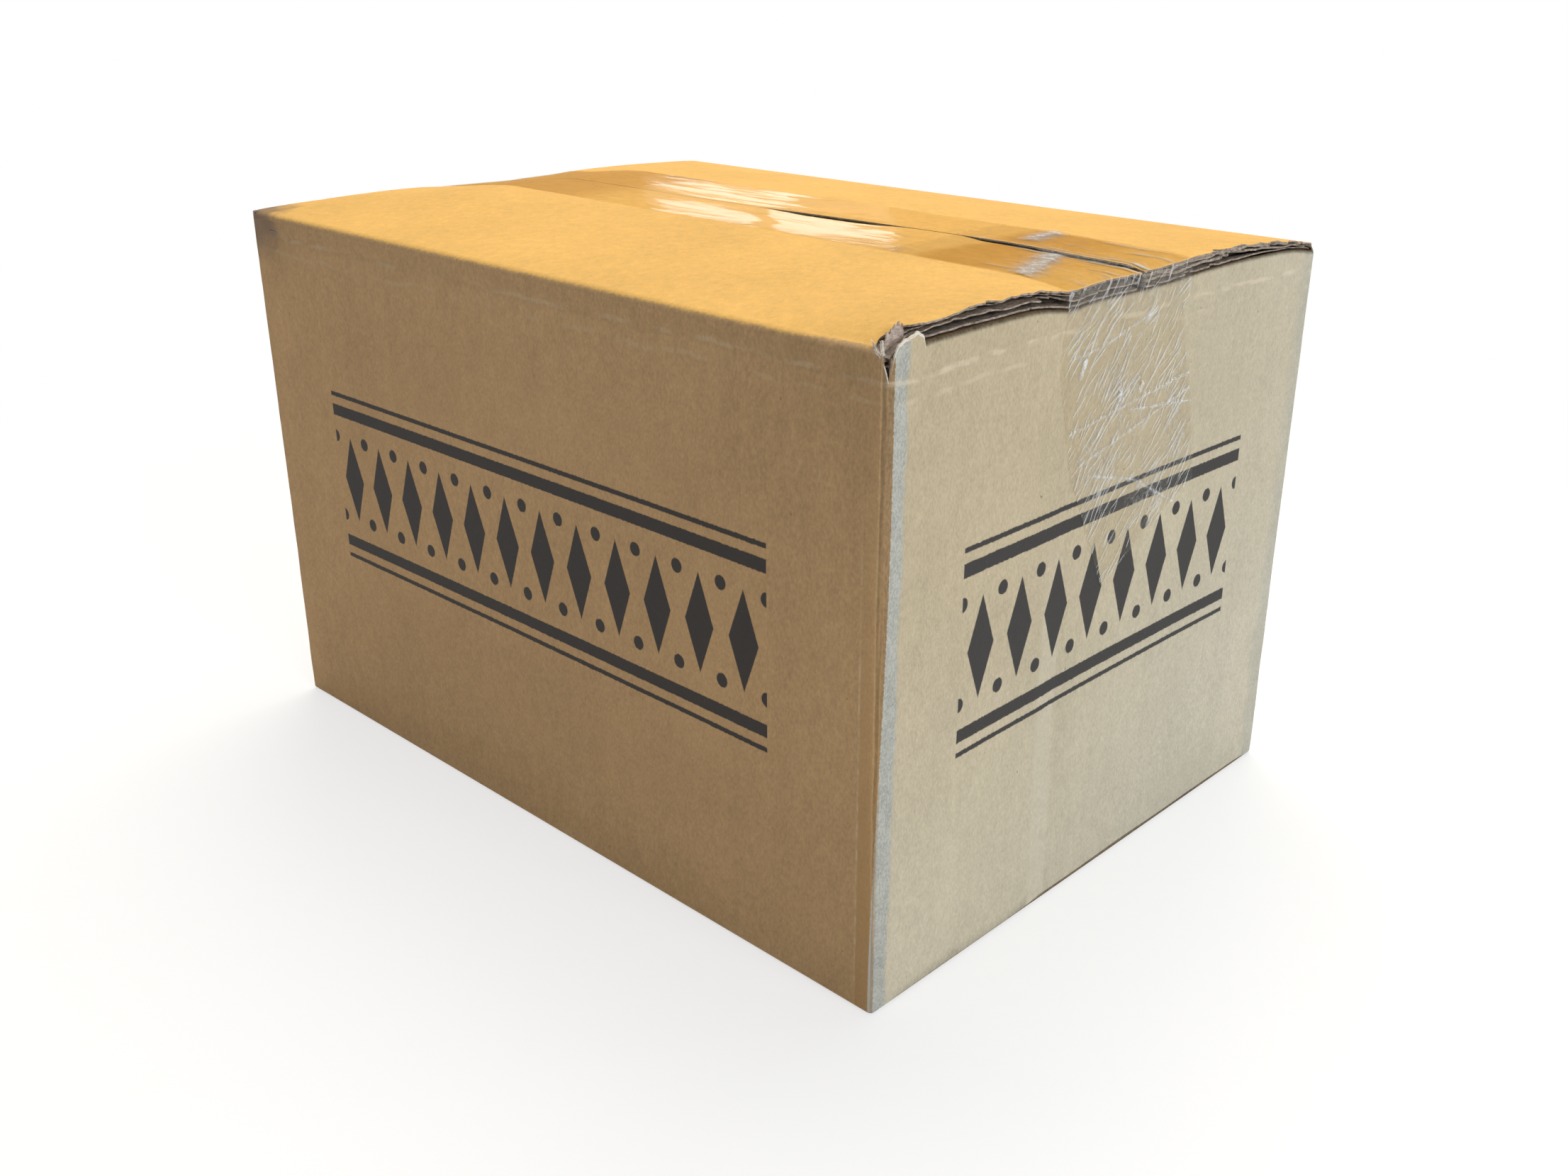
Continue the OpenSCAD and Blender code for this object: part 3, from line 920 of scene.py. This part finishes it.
class Shader:
    """Builds the node tree of a material or world. Places are the part's own, in millimetres."""

    def __init__(self, holder):
        self.holder = holder
        holder.use_nodes = True
        self.tree = holder.node_tree
        self.tree.nodes.clear()
        self.coords = self.node("TexCoord").outputs
        self.place = self.vector("MULTIPLY", self.coords["Object"], (1 / MM,) * 3).outputs[0]
        self.x, self.y, self.z = self.split(self.place)
        self.nx, self.ny, self.nz = self.split(self.coords["Normal"])

    def node(self, kind, inputs=(), **settings):
        """New node with its settings and the values of its inputs, by name or number."""
        node = self.tree.nodes.new("ShaderNode" + kind)
        for name, value in settings.items():
            setattr(node, name, value)
        for name, value in dict(inputs).items():
            self.feed(node.inputs[name], value)
        return node

    def feed(self, socket, value):
        """Links a value to a socket, or sets a constant on it."""
        value = value.socket if isinstance(value, Value) else value
        if isinstance(value, bpy.types.NodeSocket):
            self.tree.links.new(value, socket)
        elif socket.type == "RGBA":
            socket.default_value = (*value, 1)
        else:
            socket.default_value = value

    def math(self, operation, *values):
        node = self.node("Math", dict(enumerate(values)), operation=operation)
        return Value(self, node.outputs[0])

    def highest(self, *values):
        total = values[0]
        for value in values[1:]:
            total = self.math("MAXIMUM", total, value)
        return total

    def vector(self, operation, a, b):
        return self.node("VectorMath", {0: a, 1: b}, operation=operation)

    def distance(self, point):
        return Value(self, self.vector("DISTANCE", self.place, point).outputs["Value"])

    def split(self, vector):
        node = self.node("SeparateXYZ", {0: vector})
        return [Value(self, socket) for socket in node.outputs]

    def join(self, *values):
        return self.node("CombineXYZ", dict(enumerate(values))).outputs[0]

    def noise(self, size, detail=2.0, stretch=(1, 1, 1), offset=0.0, rough=0.5):
        """Noise from 0 to 1 with features of a size in millimetres, stretched along axes."""
        scaled = self.vector("MULTIPLY", self.place, tuple(1 / (size * s) for s in stretch))
        moved = self.vector("ADD", scaled.outputs[0], (offset,) * 3)
        return self.noise_at(moved.outputs[0], detail, rough)

    def noise_at(self, place, detail, rough=0.5):
        inputs = {"Vector": place, "Scale": 1, "Detail": detail, "Roughness": rough}
        return Value(self, self.node("TexNoise", inputs).outputs["Fac"])

    def mix(self, share, a, b, blend="MIX"):
        """Colour between two colours."""
        inputs = {0: share, 6: a, 7: b}
        return self.node("Mix", inputs, data_type="RGBA", blend_type=blend).outputs[2]

    def shade(self, colour, level):
        """Colour times a level."""
        return self.mix(1, colour, self.join(level, level, level), "MULTIPLY")

    def attribute(self, name):
        return Value(self, self.node("Attribute", attribute_name=name).outputs["Fac"])

    def bump(self, height):
        """Normal from a height in millimetres."""
        inputs = {"Strength": 1, "Distance": MM, "Height": height}
        return self.node("Bump", inputs).outputs["Normal"]

    def blend(self, share, a, b):
        """Surface between two surfaces."""
        return self.node("MixShader", {0: share, 1: a, 2: b}).outputs[0]

    def principled(self, colour, roughness, normal, specular=0.5):
        inputs = {"Base Color": colour, "Roughness": roughness, "Normal": normal}
        inputs["Specular IOR Level"] = specular
        return self.node("BsdfPrincipled", inputs).outputs[0]

    def surface(self, shader, kind="OutputMaterial"):
        self.node(kind, {"Surface": shader})
        return self.holder


# Board colours, as linear light. The lid's warm colour and the taped end's greyer colours are partly
# the board's own and partly painted light: warm light on the lid, cool light on the end
KRAFT = (0.54, 0.345, 0.172)
KRAFT_TOP_LIT = (0.88, 0.52, 0.145)
KRAFT_END_LIT = (0.49, 0.405, 0.272)
KRAFT_END_LIT_GREY = (0.545, 0.50, 0.395)
# The pale corner strip is worn fibres and painted light, and its front-facing part is painted brighter
# and cooler
WORN_AND_LIT = (0.30, 0.31, 0.29)
WORN_AND_LIT_PALE = (0.50, 0.50, 0.455)
WORN_FRONT_LIT = (0.72, 0.84, 0.88)
# Darker, warmer band on the front beside the corner
CORNER_BAND = (0.47, 0.27, 0.10)
STRAND = (0.75, 0.62, 0.44)
SPECK = (0.16, 0.10, 0.06)
PRESSED = (0.72, 0.62, 0.47)
SCORE_HIGHLIGHT = (0.72, 0.58, 0.38)
PALE_STRIPE = (0.78, 0.74, 0.62)
# Painted shade of the crushed corner
CRUSH_SHADE = (0.22, 0.155, 0.115)
INK = (0.020, 0.020, 0.022)

# Marks on the board: the scored line beside the front corner, painted pale as a highlight along its
# crease, and a paler stripe
SCORE_X = HALF_L - 5.1
STRIPE_Y = -22.5

# Printed band on the front panel and the taped end panel: bars, thin rules, lozenges and dots
PRINT_Z = 76.0
PRINT_HALF = {"front": 84.0, "end": 56.0}
PRINT_SOFT = 0.16
LOZENGE_PITCH = 14.0
LOZENGE_W = 4.6
LOZENGE_H = 12.0
DOT_R = 1.7
DOT_RISE = 11.5
BAR_RISE = 19.0
BAR_HALF = 1.6
RULE_RISE = 23.5
RULE_HALF = 0.6


def inked(distance, reach):
    return distance.step(reach + PRINT_SOFT, reach - PRINT_SOFT)


def printed_band(s, u, half):
    """Ink coverage of the band, from the place along a panel."""
    w = abs(s.z - PRINT_Z) + s.noise(0.9, 2) * 0.5 - 0.25
    cell = abs(u % LOZENGE_PITCH - LOZENGE_PITCH / 2)
    between = LOZENGE_PITCH / 2 - cell
    soft = PRINT_SOFT / LOZENGE_W
    lozenge = (cell * (1 / LOZENGE_W) + w * (1 / LOZENGE_H)).step(1 + soft, 1 - soft)
    dot = inked((between**2 + abs(w - DOT_RISE) ** 2) ** 0.5, DOT_R)
    bar = inked(abs(w - BAR_RISE), BAR_HALF)
    rule = inked(abs(w - RULE_RISE), RULE_HALF)
    return s.highest(lozenge, dot, bar, rule) * inked(abs(u), half)


def print_cover(s):
    front = printed_band(s, s.x, PRINT_HALF["front"]) * s.ny.step(-0.85, -0.97)
    end = printed_band(s, s.y, PRINT_HALF["end"]) * s.nx.step(0.9, 0.98)
    starved = s.noise(0.55, 2, offset=51, rough=0.7).step(0.70, 0.80)
    return s.highest(front, end) * (0.97 - starved * 0.35)


def board_masks(s, with_lid):
    """Places on the board and the noises that several of its marks share."""
    # Painted light: the lid's warm colour goes where the board faces up, with its border on the curve
    # of the front fold
    near_tear = s.x.step(88, 108) * s.y.step(2.6 - HALF_W, 1.4 - HALF_W)
    facing = s.nz + s.noise(1.1, 3, offset=71) * 0.5 - 0.25 - near_tear * 0.35
    top = facing.step(0.5, 0.85) * s.z.step(FOLD_Z - 8, FOLD_Z - 1) * float(with_lid)
    hairy = s.noise(0.5, 3, (1, 1, 1.5), offset=41, rough=0.7)
    # Painted shade: a band just past the front corner, wider near the top, takes the front panel's
    # colour and is darkened like the front panel in shade
    corner = s.x + s.y + (HALF_W - HALF_L) + hairy * 0.9 - s.z.step(0, 115) * 3.6
    return SimpleNamespace(
        top=top,
        front=s.ny.step(-0.5, -0.9),
        end=s.nx.step(0.5, 0.9),
        hairy=hairy,
        painted_corner_shade=corner.step(-0.6, -0.9) * s.y.step(6 - HALF_W, 5 - HALF_W),
        wobble=s.noise(7, 3, offset=12) * 2.4 - 1.2,
        line_z=s.z + s.noise(14, 2, (1, 1, 9), offset=8) * 4 - 2,
        broken=s.noise(7, 3, (1, 1, 0.4), offset=23).step(0.42, 0.62),
    )


def plain_board(s, m):
    """Colour of clean board: a warm lid and a greyer taped end, both partly painted light, with the end
    greyer still downwards and backwards.
    """
    greying = s.y.step(-60, HALF_W) * 0.6 + s.z.step(120, 0) * 0.6
    end = s.mix(greying, KRAFT_END_LIT, KRAFT_END_LIT_GREY)
    return s.mix(m.top, s.mix(m.end * (1 - m.painted_corner_shade), KRAFT, end), KRAFT_TOP_LIT)


def board_fibre(s, m):
    upright = s.noise(0.55, 3, (1, 1, 1.8), rough=0.65)
    lying = s.noise(0.6, 3, (1, 2.2, 1), offset=9, rough=0.65)
    return upright * (1 - m.top) + lying * m.top


def board_level(s, m, fibre, with_lid):
    """Lightness of the board: grain, blotches and streaks, with broad painted light and shade: a
    lighter lid, a darker upper right of the front panel, a darker band past the front corner, a lighter
    lower front of the taped end, and, on the end panels' board, darker folds under the flaps.
    """
    # Painted light: the lid is lighter
    level = 0.39 + fibre * (0.68 - m.top * 0.36) + m.top * 0.18
    level += s.noise(2.2, 2, (1, 1, 1.4), offset=27) * 0.22
    level += s.noise(26, 3, offset=3) * 0.22
    level += s.noise(5, 2, (1, 1, 14), offset=5) * 0.10
    level -= m.line_z.step(FOLD_Z - 7.4, FOLD_Z - 6.2) * m.front * 0.07
    # Painted shade: the front panel darker towards its upper right
    level -= s.x.step(20, 110) * s.z.step(80, 135) * m.front * 0.13
    # Painted shade on the band past the front corner
    level -= m.painted_corner_shade * s.nx.step(0.3, 0.95) * 0.5
    # Painted light: the taped end lighter towards its lower front
    level += s.y.step(0, -60) * s.z.step(80, 15) * m.end * 0.11
    # Painted shade: on the end panels' board, faces that look up, the folds under the flaps, are
    # darkened
    return level - s.nz.step(0.05, 0.6) * (0.0 if with_lid else 0.65)


def fibre_marks(s, colour):
    strands = s.noise(0.7, 2, (0.35, 0.35, 3.2), offset=17, rough=0.7).step(0.64, 0.76)
    specks = s.noise(1.6, 1, offset=31).step(0.80, 0.84)
    return s.mix(specks * 0.6, s.mix(strands * 0.25, colour, STRAND), SPECK)


def worn_and_lit_edges(s, m, colour):
    """Pale furry strip down the front corner, a fainter one at the far corner and a darker, warmer band
    beside the corner; the strips are worn fibres and painted light on the rounded corner, brightest and
    coolest where it turns to the front.
    """
    fray = s.noise(0.7, 2, (1, 1, 0.6), offset=44) * 2.5 - 1.25
    rim = (s.y + (HALF_W + 1.35) + m.wobble + fray - s.z * 0.0145).step(6.6, 5.0)
    rim *= (1 - m.painted_corner_shade) * s.x.step(HALF_L - 1.35, HALF_L - 1.1)
    far_rim = (m.wobble + HALF_W - s.y).step(8, 3) * s.nx.step(0.6, 0.9) * 0.45
    furry = m.hairy + s.noise(3, 2, offset=47) * 0.4
    worn = s.mix(furry.step(0.5, 0.9), WORN_AND_LIT, WORN_AND_LIT_PALE)
    # Painted light: brighter and cooler where the corner turns to the front
    worn = s.mix(s.nx.step(0.85, 0.35), worn, WORN_FRONT_LIT)
    colour = s.mix(s.highest(rim, far_rim) * 0.92, colour, worn)
    corner_band = s.x.step(SCORE_X - 0.1, SCORE_X + 0.3) * s.ny.step(-0.3, -0.6) * s.z.step(140, 10)
    return s.mix(corner_band * 0.5, colour, CORNER_BAND)


def pressed_marks(s, m, colour):
    """Pressed lines below the top folds, the scored line with its painted highlight, a paler stripe and
    painted shade on the crushed corner.
    """
    first = abs(m.line_z - (FOLD_Z - CREASE_DROP)).step(0.9, 0.2)
    second = abs(m.line_z - (FOLD_Z - SECOND_DROP)).step(0.8, 0.2) * 0.6
    lines = s.highest(first, second) * m.broken * (1 - m.top) * (0.2 + m.end * 0.3)
    colour = s.mix(lines, colour, PRESSED)
    # Painted highlight along the scored line
    score_highlight = abs(s.x + m.wobble * 0.15 - SCORE_X).step(0.45, 0.1) * s.ny.step(-0.6, -0.9)
    score_highlight *= s.z.step(125, 70) * (0.12 + m.broken * 0.4)
    colour = s.mix(score_highlight, colour, SCORE_HIGHLIGHT)
    stripe = abs(s.y - STRIPE_Y).step(4.5, 2.5) * s.z.step(100, 70) * m.end
    colour = s.mix(stripe * 0.16, colour, PALE_STRIPE)
    # Painted shade on the crushed corner, whose knocked-in faces look down
    away = s.distance((-HALF_L, -HALF_W, FOLD_Z - 2)) + s.noise(5, 3, offset=2) * 9
    return s.mix(away.step(19, 10) * 0.8, colour, CRUSH_SHADE)


def board_material(name, with_lid):
    """Brown board with its print and wear and with painted light and shade, for the sheets with the lid
    or for the end panels, whose board has painted shade on its folds under the flaps.
    """
    s = Shader(bpy.data.materials.new(name))
    m = board_masks(s, with_lid)
    fibre = board_fibre(s, m)
    colour = s.shade(plain_board(s, m), board_level(s, m, fibre, with_lid))
    colour = pressed_marks(s, m, worn_and_lit_edges(s, m, fibre_marks(s, colour)))
    cover = print_cover(s)
    colour = s.mix(cover, colour, INK)
    across = s.x * abs(s.nx).step(0.8, 0.4) + s.y * abs(s.nx).step(0.4, 0.8)
    flutes = s.math("SINE", across * (2 * math.pi / FLUTE_PITCH))
    height = fibre * 0.10 + s.noise(0.25, 2, offset=61) * 0.04 + flutes * 0.012
    roughness = 0.80 + fibre * 0.12 - cover * 0.22
    return s.surface(s.principled(colour, roughness, s.bump(height), 0.3))


def paper_material(name, dark, pale):
    """Torn paper of the board's inside: frayed, in two shades."""
    s = Shader(bpy.data.materials.new(name))
    fibre = s.noise(0.45, 3, (1, 3, 1), rough=0.7)
    middle = tuple((d + p) / 2 for d, p in zip(dark, pale))
    colour = s.mix(fibre.step(0.3, 0.7), dark, pale)
    colour = s.mix(s.noise(4, 2, offset=7).step(0.4, 0.65) * 0.5, colour, middle)
    return s.surface(s.principled(colour, 0.9, s.bump(fibre * 0.25), 0.2))


# Share of light that a face of the film lets through: straight, steep, hidden end and second strip,
# whose darker tint is painted shade
FILM_CLEAR = (0.985, 0.975, 0.945)
FILM_STEEP = (0.98, 0.955, 0.885)
FILM_HIDDEN = (0.865, 0.82, 0.775)
FILM_SECOND_SHADE = (0.945, 0.912, 0.84)
FILM_MILKY = (0.57, 0.54, 0.51)
FILM_WHITE = (0.80, 0.81, 0.82)
# Fine wrinkles of the tail: angle to the level, length and place in the noise
HAIRS = [(33, 15, 3), (62, 10, 23), (48, 22, 43)]
HAIR_W = 0.8
# Distance from the seam of the white lines on the film, painted highlights along the seam's edges
SEAM_HIGHLIGHT_GAP = 1.9


def film_tint(s, steep, lying):
    """Colour of the film, darker at the hidden end and on most of the second strip, where the darker
    tint is painted shade.
    """
    tint = s.mix(steep * 2, FILM_CLEAR, FILM_STEEP)
    tint = s.mix(s.x.step(-35, -60), tint, FILM_HIDDEN)
    start = (s.x - s.y * START_SKEW).step(OVERLAP_START - 0.2, OVERLAP_START)
    tint = s.mix(start * s.x.step(75, 71) * lying * 0.5, tint, (1, 1, 1))
    # Painted shade over most of the second strip, with ragged ends
    ragged_x = s.noise(1.1, 3, (9, 1, 1), offset=37) * 40 - 20
    second = (s.x + ragged_x * 0.3).step(OVERLAP_START + 7, OVERLAP_START + 13)
    return s.mix(second * (s.x + ragged_x).step(108, 88) * lying, tint, FILM_SECOND_SHADE)


def film_lines(s, on_end, lying, mottled):
    """Share of white film: creases, which also hold painted glints and sheen, hairlines on the tail,
    flecks that are partly air under the film and partly painted glints, and painted highlights beside
    the seam.
    """
    # The crease attribute also holds painted glints on the tail and painted sheen over the raw edge
    crease = s.attribute("crease") * (0.2 + mottled * 0.4)
    hairs = s.highest(*[hair_lines(s, *hair) for hair in HAIRS])
    # Flecks on the second strip near the raw edge: partly air under the film, partly painted glints
    flecks = s.noise(2.4, 3, (7, 1, 1), offset=57, rough=0.7).step(0.54, 0.70)
    flecks *= s.x.step(82, 98) * lying
    seam = s.x.step(*DRIFT_RUN) * SEAM_DRIFT
    # Painted highlights along both edges of the seam
    lip_highlights = abs(abs(s.y - seam) - SEAM_HIGHLIGHT_GAP).step(0.9, 0.3) * s.x.step(74, 92) * lying
    lip_highlights *= s.noise(1.5, 2, (6, 1, 1), offset=67).step(0.38, 0.58)
    return s.math("MINIMUM", crease + flecks * 0.22 + lip_highlights * 0.4 + hairs * on_end * 0.42, 0.85)


def film_material():
    """Clear tape: tinted see-through film with a sharp gloss, milky where it is creased."""
    s = Shader(bpy.data.materials.new("Clear tape"))
    on_end = abs(s.nx).step(0.4, 0.8)
    lying = 1 - on_end
    crinkle = s.noise(2.4, 3, offset=5, rough=0.6) * (0.03 + on_end * 0.25)
    normal = s.bump(crinkle + s.noise(1.2, 2, (9, 1, 1), offset=14) * 0.02)
    weight = s.node("LayerWeight", {"Blend": 0.5, "Normal": normal})
    steep = s.math("POWER", weight.outputs["Facing"], 5)
    clear = s.node("BsdfTransparent", {"Color": film_tint(s, steep, lying)})
    gloss = s.node("BsdfGlossy", {"Roughness": 0.07, "Normal": normal})
    mirrored = on_end * 0.015 + 0.02 + steep * glossy_patches(s) * 0.30
    shiny = s.blend(mirrored, clear.outputs[0], gloss.outputs[0])
    mottled = s.noise(2.2, 4, offset=3, rough=0.7).step(0.42, 0.72)
    milky = s.principled(FILM_MILKY, 0.35, normal)
    white = s.principled(FILM_WHITE, 0.3, normal)
    shiny = s.blend(s.attribute("haze") * mottled * 0.5, shiny, milky)
    return s.surface(s.blend(film_lines(s, on_end, lying, mottled), shiny, white))


# Patches of the seam strip that mirror the light, as ends along a slanted line across the lid, and a
# break in the near one, as its middle and half width
GLOSS_SLANT = 1.08
GLOSS_NEAR = (-37.0, 42.0)
GLOSS_FAR = (-40.0, 13.0)
GLOSS_BREAK = (0.3, 3.2)


def glossy_patches(s):
    """How much of the gloss is left, with streaky ends, on the near and the far half of the tape."""
    streak = s.noise(6.5, 3, (7, 1, 1), offset=33, rough=0.65) - 0.5
    thin = s.noise(4.0, 3, (9, 1, 1), offset=39, rough=0.65)
    slanted = s.x + s.y * GLOSS_SLANT
    level = slanted + streak * 16
    v = slanted + streak * 70
    near, far = [
        v.step(low - 3, low + 3) * v.step(high + 2, high - 2)
        for low, high in (GLOSS_NEAR, GLOSS_FAR)
    ]
    middle, half = GLOSS_BREAK
    near *= abs(level - middle).step(half - 1, half + 2) * (0.45 + thin.step(0.34, 0.46) * 0.55)
    near *= s.highest((s.y + streak * 18).step(-6.5, -11), level.step(middle, middle + 2))
    far *= 0.1 + thin.step(0.40, 0.54) * 0.9
    beyond = s.y.step(0.2, 0.8)
    return near * (1 - beyond) + far * beyond


def hair_lines(s, angle, length, offset):
    """Fine wrinkles of the tape's tail that run at an angle to the level, in patches."""
    cos, sin = math.cos(math.radians(angle)), math.sin(math.radians(angle))
    along = (s.y * cos + s.z * sin) * (1 / length)
    across = (s.z * cos - s.y * sin) * (1 / HAIR_W)
    grain = s.noise_at(s.join(along, across, offset), 1)
    return grain.step(0.585, 0.66) * s.noise(9, 1, offset=offset).step(0.40, 0.55)


def adhesive_material():
    s = Shader(bpy.data.materials.new("Tape adhesive"))
    tint = s.mix(s.noise(3, 2, (12, 1, 1), offset=4), (0.96, 0.95, 0.93), (1, 1, 1))
    return s.surface(s.node("BsdfTransparent", {"Color": tint}).outputs[0])


# Camera: place in millimetres, turn and lens of the photograph's view
CAMERA_AT = (289.5, -285.4, 209.55)
CAMERA_RIGHT = (0.7295, 0.684, 0.0084)
CAMERA_AHEAD = (-0.629, 0.6755, -0.3845)
LENS = 34.92
SHIFT = (-0.02544, 0.0034)

FLOOR_R = 12.0
FLOOR_GAP = 0.4
FLOOR_BOUNCE = 0.8
FLOOR_GREY = 0.42
FLOOR_WHITE = 0.64


def make_camera():
    data = bpy.data.cameras.new("Camera")
    data.lens = LENS
    data.sensor_width = 36
    data.sensor_fit = "HORIZONTAL"
    data.shift_x, data.shift_y = SHIFT
    data.clip_start = 0.01
    camera = add_object("Camera", data)
    back = -Vector(CAMERA_AHEAD).normalized()
    right = Vector(CAMERA_RIGHT)
    right = (right - right.dot(back) * back).normalized()
    turn = Matrix((right, back.cross(right), back)).transposed()
    camera.matrix_world = Matrix.Translation(Vector(CAMERA_AT) * MM) @ turn.to_4x4()
    bpy.context.scene.camera = camera


# Lamps: place and target in metres, width and height, power and colour
LAMPS = {
    "Key lamp": ((-0.35, 0.45, 1.25), (0, 0, 0.08), (1.0, 1.0), 14.8, (1.0, 0.94, 0.84)),
    "Side lamp": ((1.35, -0.25, 0.55), (0, 0, 0.08), (0.8, 0.8), 11.0, (0.92, 0.97, 1.0)),
    "Strip lamp": ((-1.05, 1.05, 0.36), (0, 0, 0.15), (0.30, 0.16), 0.55, (1.0, 0.98, 0.95)),
    "Glint lamp": ((1.0, 1.3, 0.45), (0, 0, 0.08), (0.25, 0.25), 1.5, (1.0, 1.0, 1.0)),
}
# Share of the horizon's light that the rest of the sky gives
SKY_LEVEL = 0.32


def make_lamp(name, place, target, size, power, colour):
    data = bpy.data.lights.new(name, "AREA")
    data.shape = "RECTANGLE"
    data.size, data.size_y = size
    data.energy = power
    data.color = colour
    lamp = add_object(name, data)
    lamp.location = place
    lamp.rotation_euler = (Vector(target) - Vector(place)).to_track_quat("-Z", "Y").to_euler()
    lamp.visible_camera = False


def make_world():
    """Even soft light, with a pale band just above the horizon."""
    s = Shader(bpy.data.worlds.new("World"))
    up = s.split(s.coords["Generated"])[2]
    strength = 1 - up.step(0.01, 0.05) * (1 - SKY_LEVEL)
    background = s.node("Background", {"Strength": strength})
    bpy.context.scene.world = s.surface(background.outputs[0], "OutputWorld")


def floor_material():
    """Plain pale floor that keeps the soft shadow and fades to white away from the object."""
    s = Shader(bpy.data.materials.new("Floor"))
    path = s.node("LightPath").outputs
    seen = s.highest(path["Is Camera Ray"], path["Is Glossy Ray"], path["Is Transmission Ray"])
    near = s.distance((0, 0, 0)).step(550, 200)
    grey = s.mix(near, (0, 0, 0), (FLOOR_GREY,) * 3)
    matte = s.node("BsdfDiffuse", {"Color": s.mix(seen, (FLOOR_BOUNCE,) * 3, grey)})
    white = s.node("Emission", {"Strength": seen * (1 - near * (1 - FLOOR_WHITE))})
    both = s.node("AddShader", {0: matte.outputs[0], 1: white.outputs[0]})
    return s.surface(both.outputs[0])


def make_floor():
    edit = bmesh.new()
    bmesh.ops.create_circle(edit, cap_ends=True, segments=96, radius=FLOOR_R)
    mesh = bpy.data.meshes.new("Floor")
    edit.to_mesh(mesh)
    edit.free()
    mesh.materials.append(floor_material())
    floor = add_object("Floor", mesh)
    floor.location.z = -FLOOR_GAP * MM


def main():
    bpy.context.scene.view_settings.view_transform = "Standard"
    make_camera()
    make_world()
    for name, lamp in LAMPS.items():
        make_lamp(name, *lamp)
    make_floor()
    # The lid's board carries the lid's painted light, and the ends' board painted shade on its folds
    # under the flaps
    sides = board_material("Kraft board", True)
    ends = board_material("Kraft board of the ends", False)
    torn = paper_material("Torn liner", (0.12, 0.085, 0.065), (0.54, 0.46, 0.385))
    tuft = paper_material("Torn tufts", (0.34, 0.25, 0.21), (0.68, 0.57, 0.49))
    pale = paper_material("Torn paper", (0.58, 0.50, 0.42), (0.82, 0.76, 0.67))
    # Flute paper darkened to near black as painted shade between the liners
    flute_shade = paper_material("Flute paper in painted shade", (0.018, 0.012, 0.010), (0.09, 0.06, 0.042))
    film = [film_material(), adhesive_material()]
    make_carton_skin(sides, ends, torn)
    make_raw_edges(torn, flute_shade)
    make_torn_corner(ends, tuft, pale)
    make_seam_tape(film)
    make_end_tape(film)
    make_bottom_tape(film)


main()
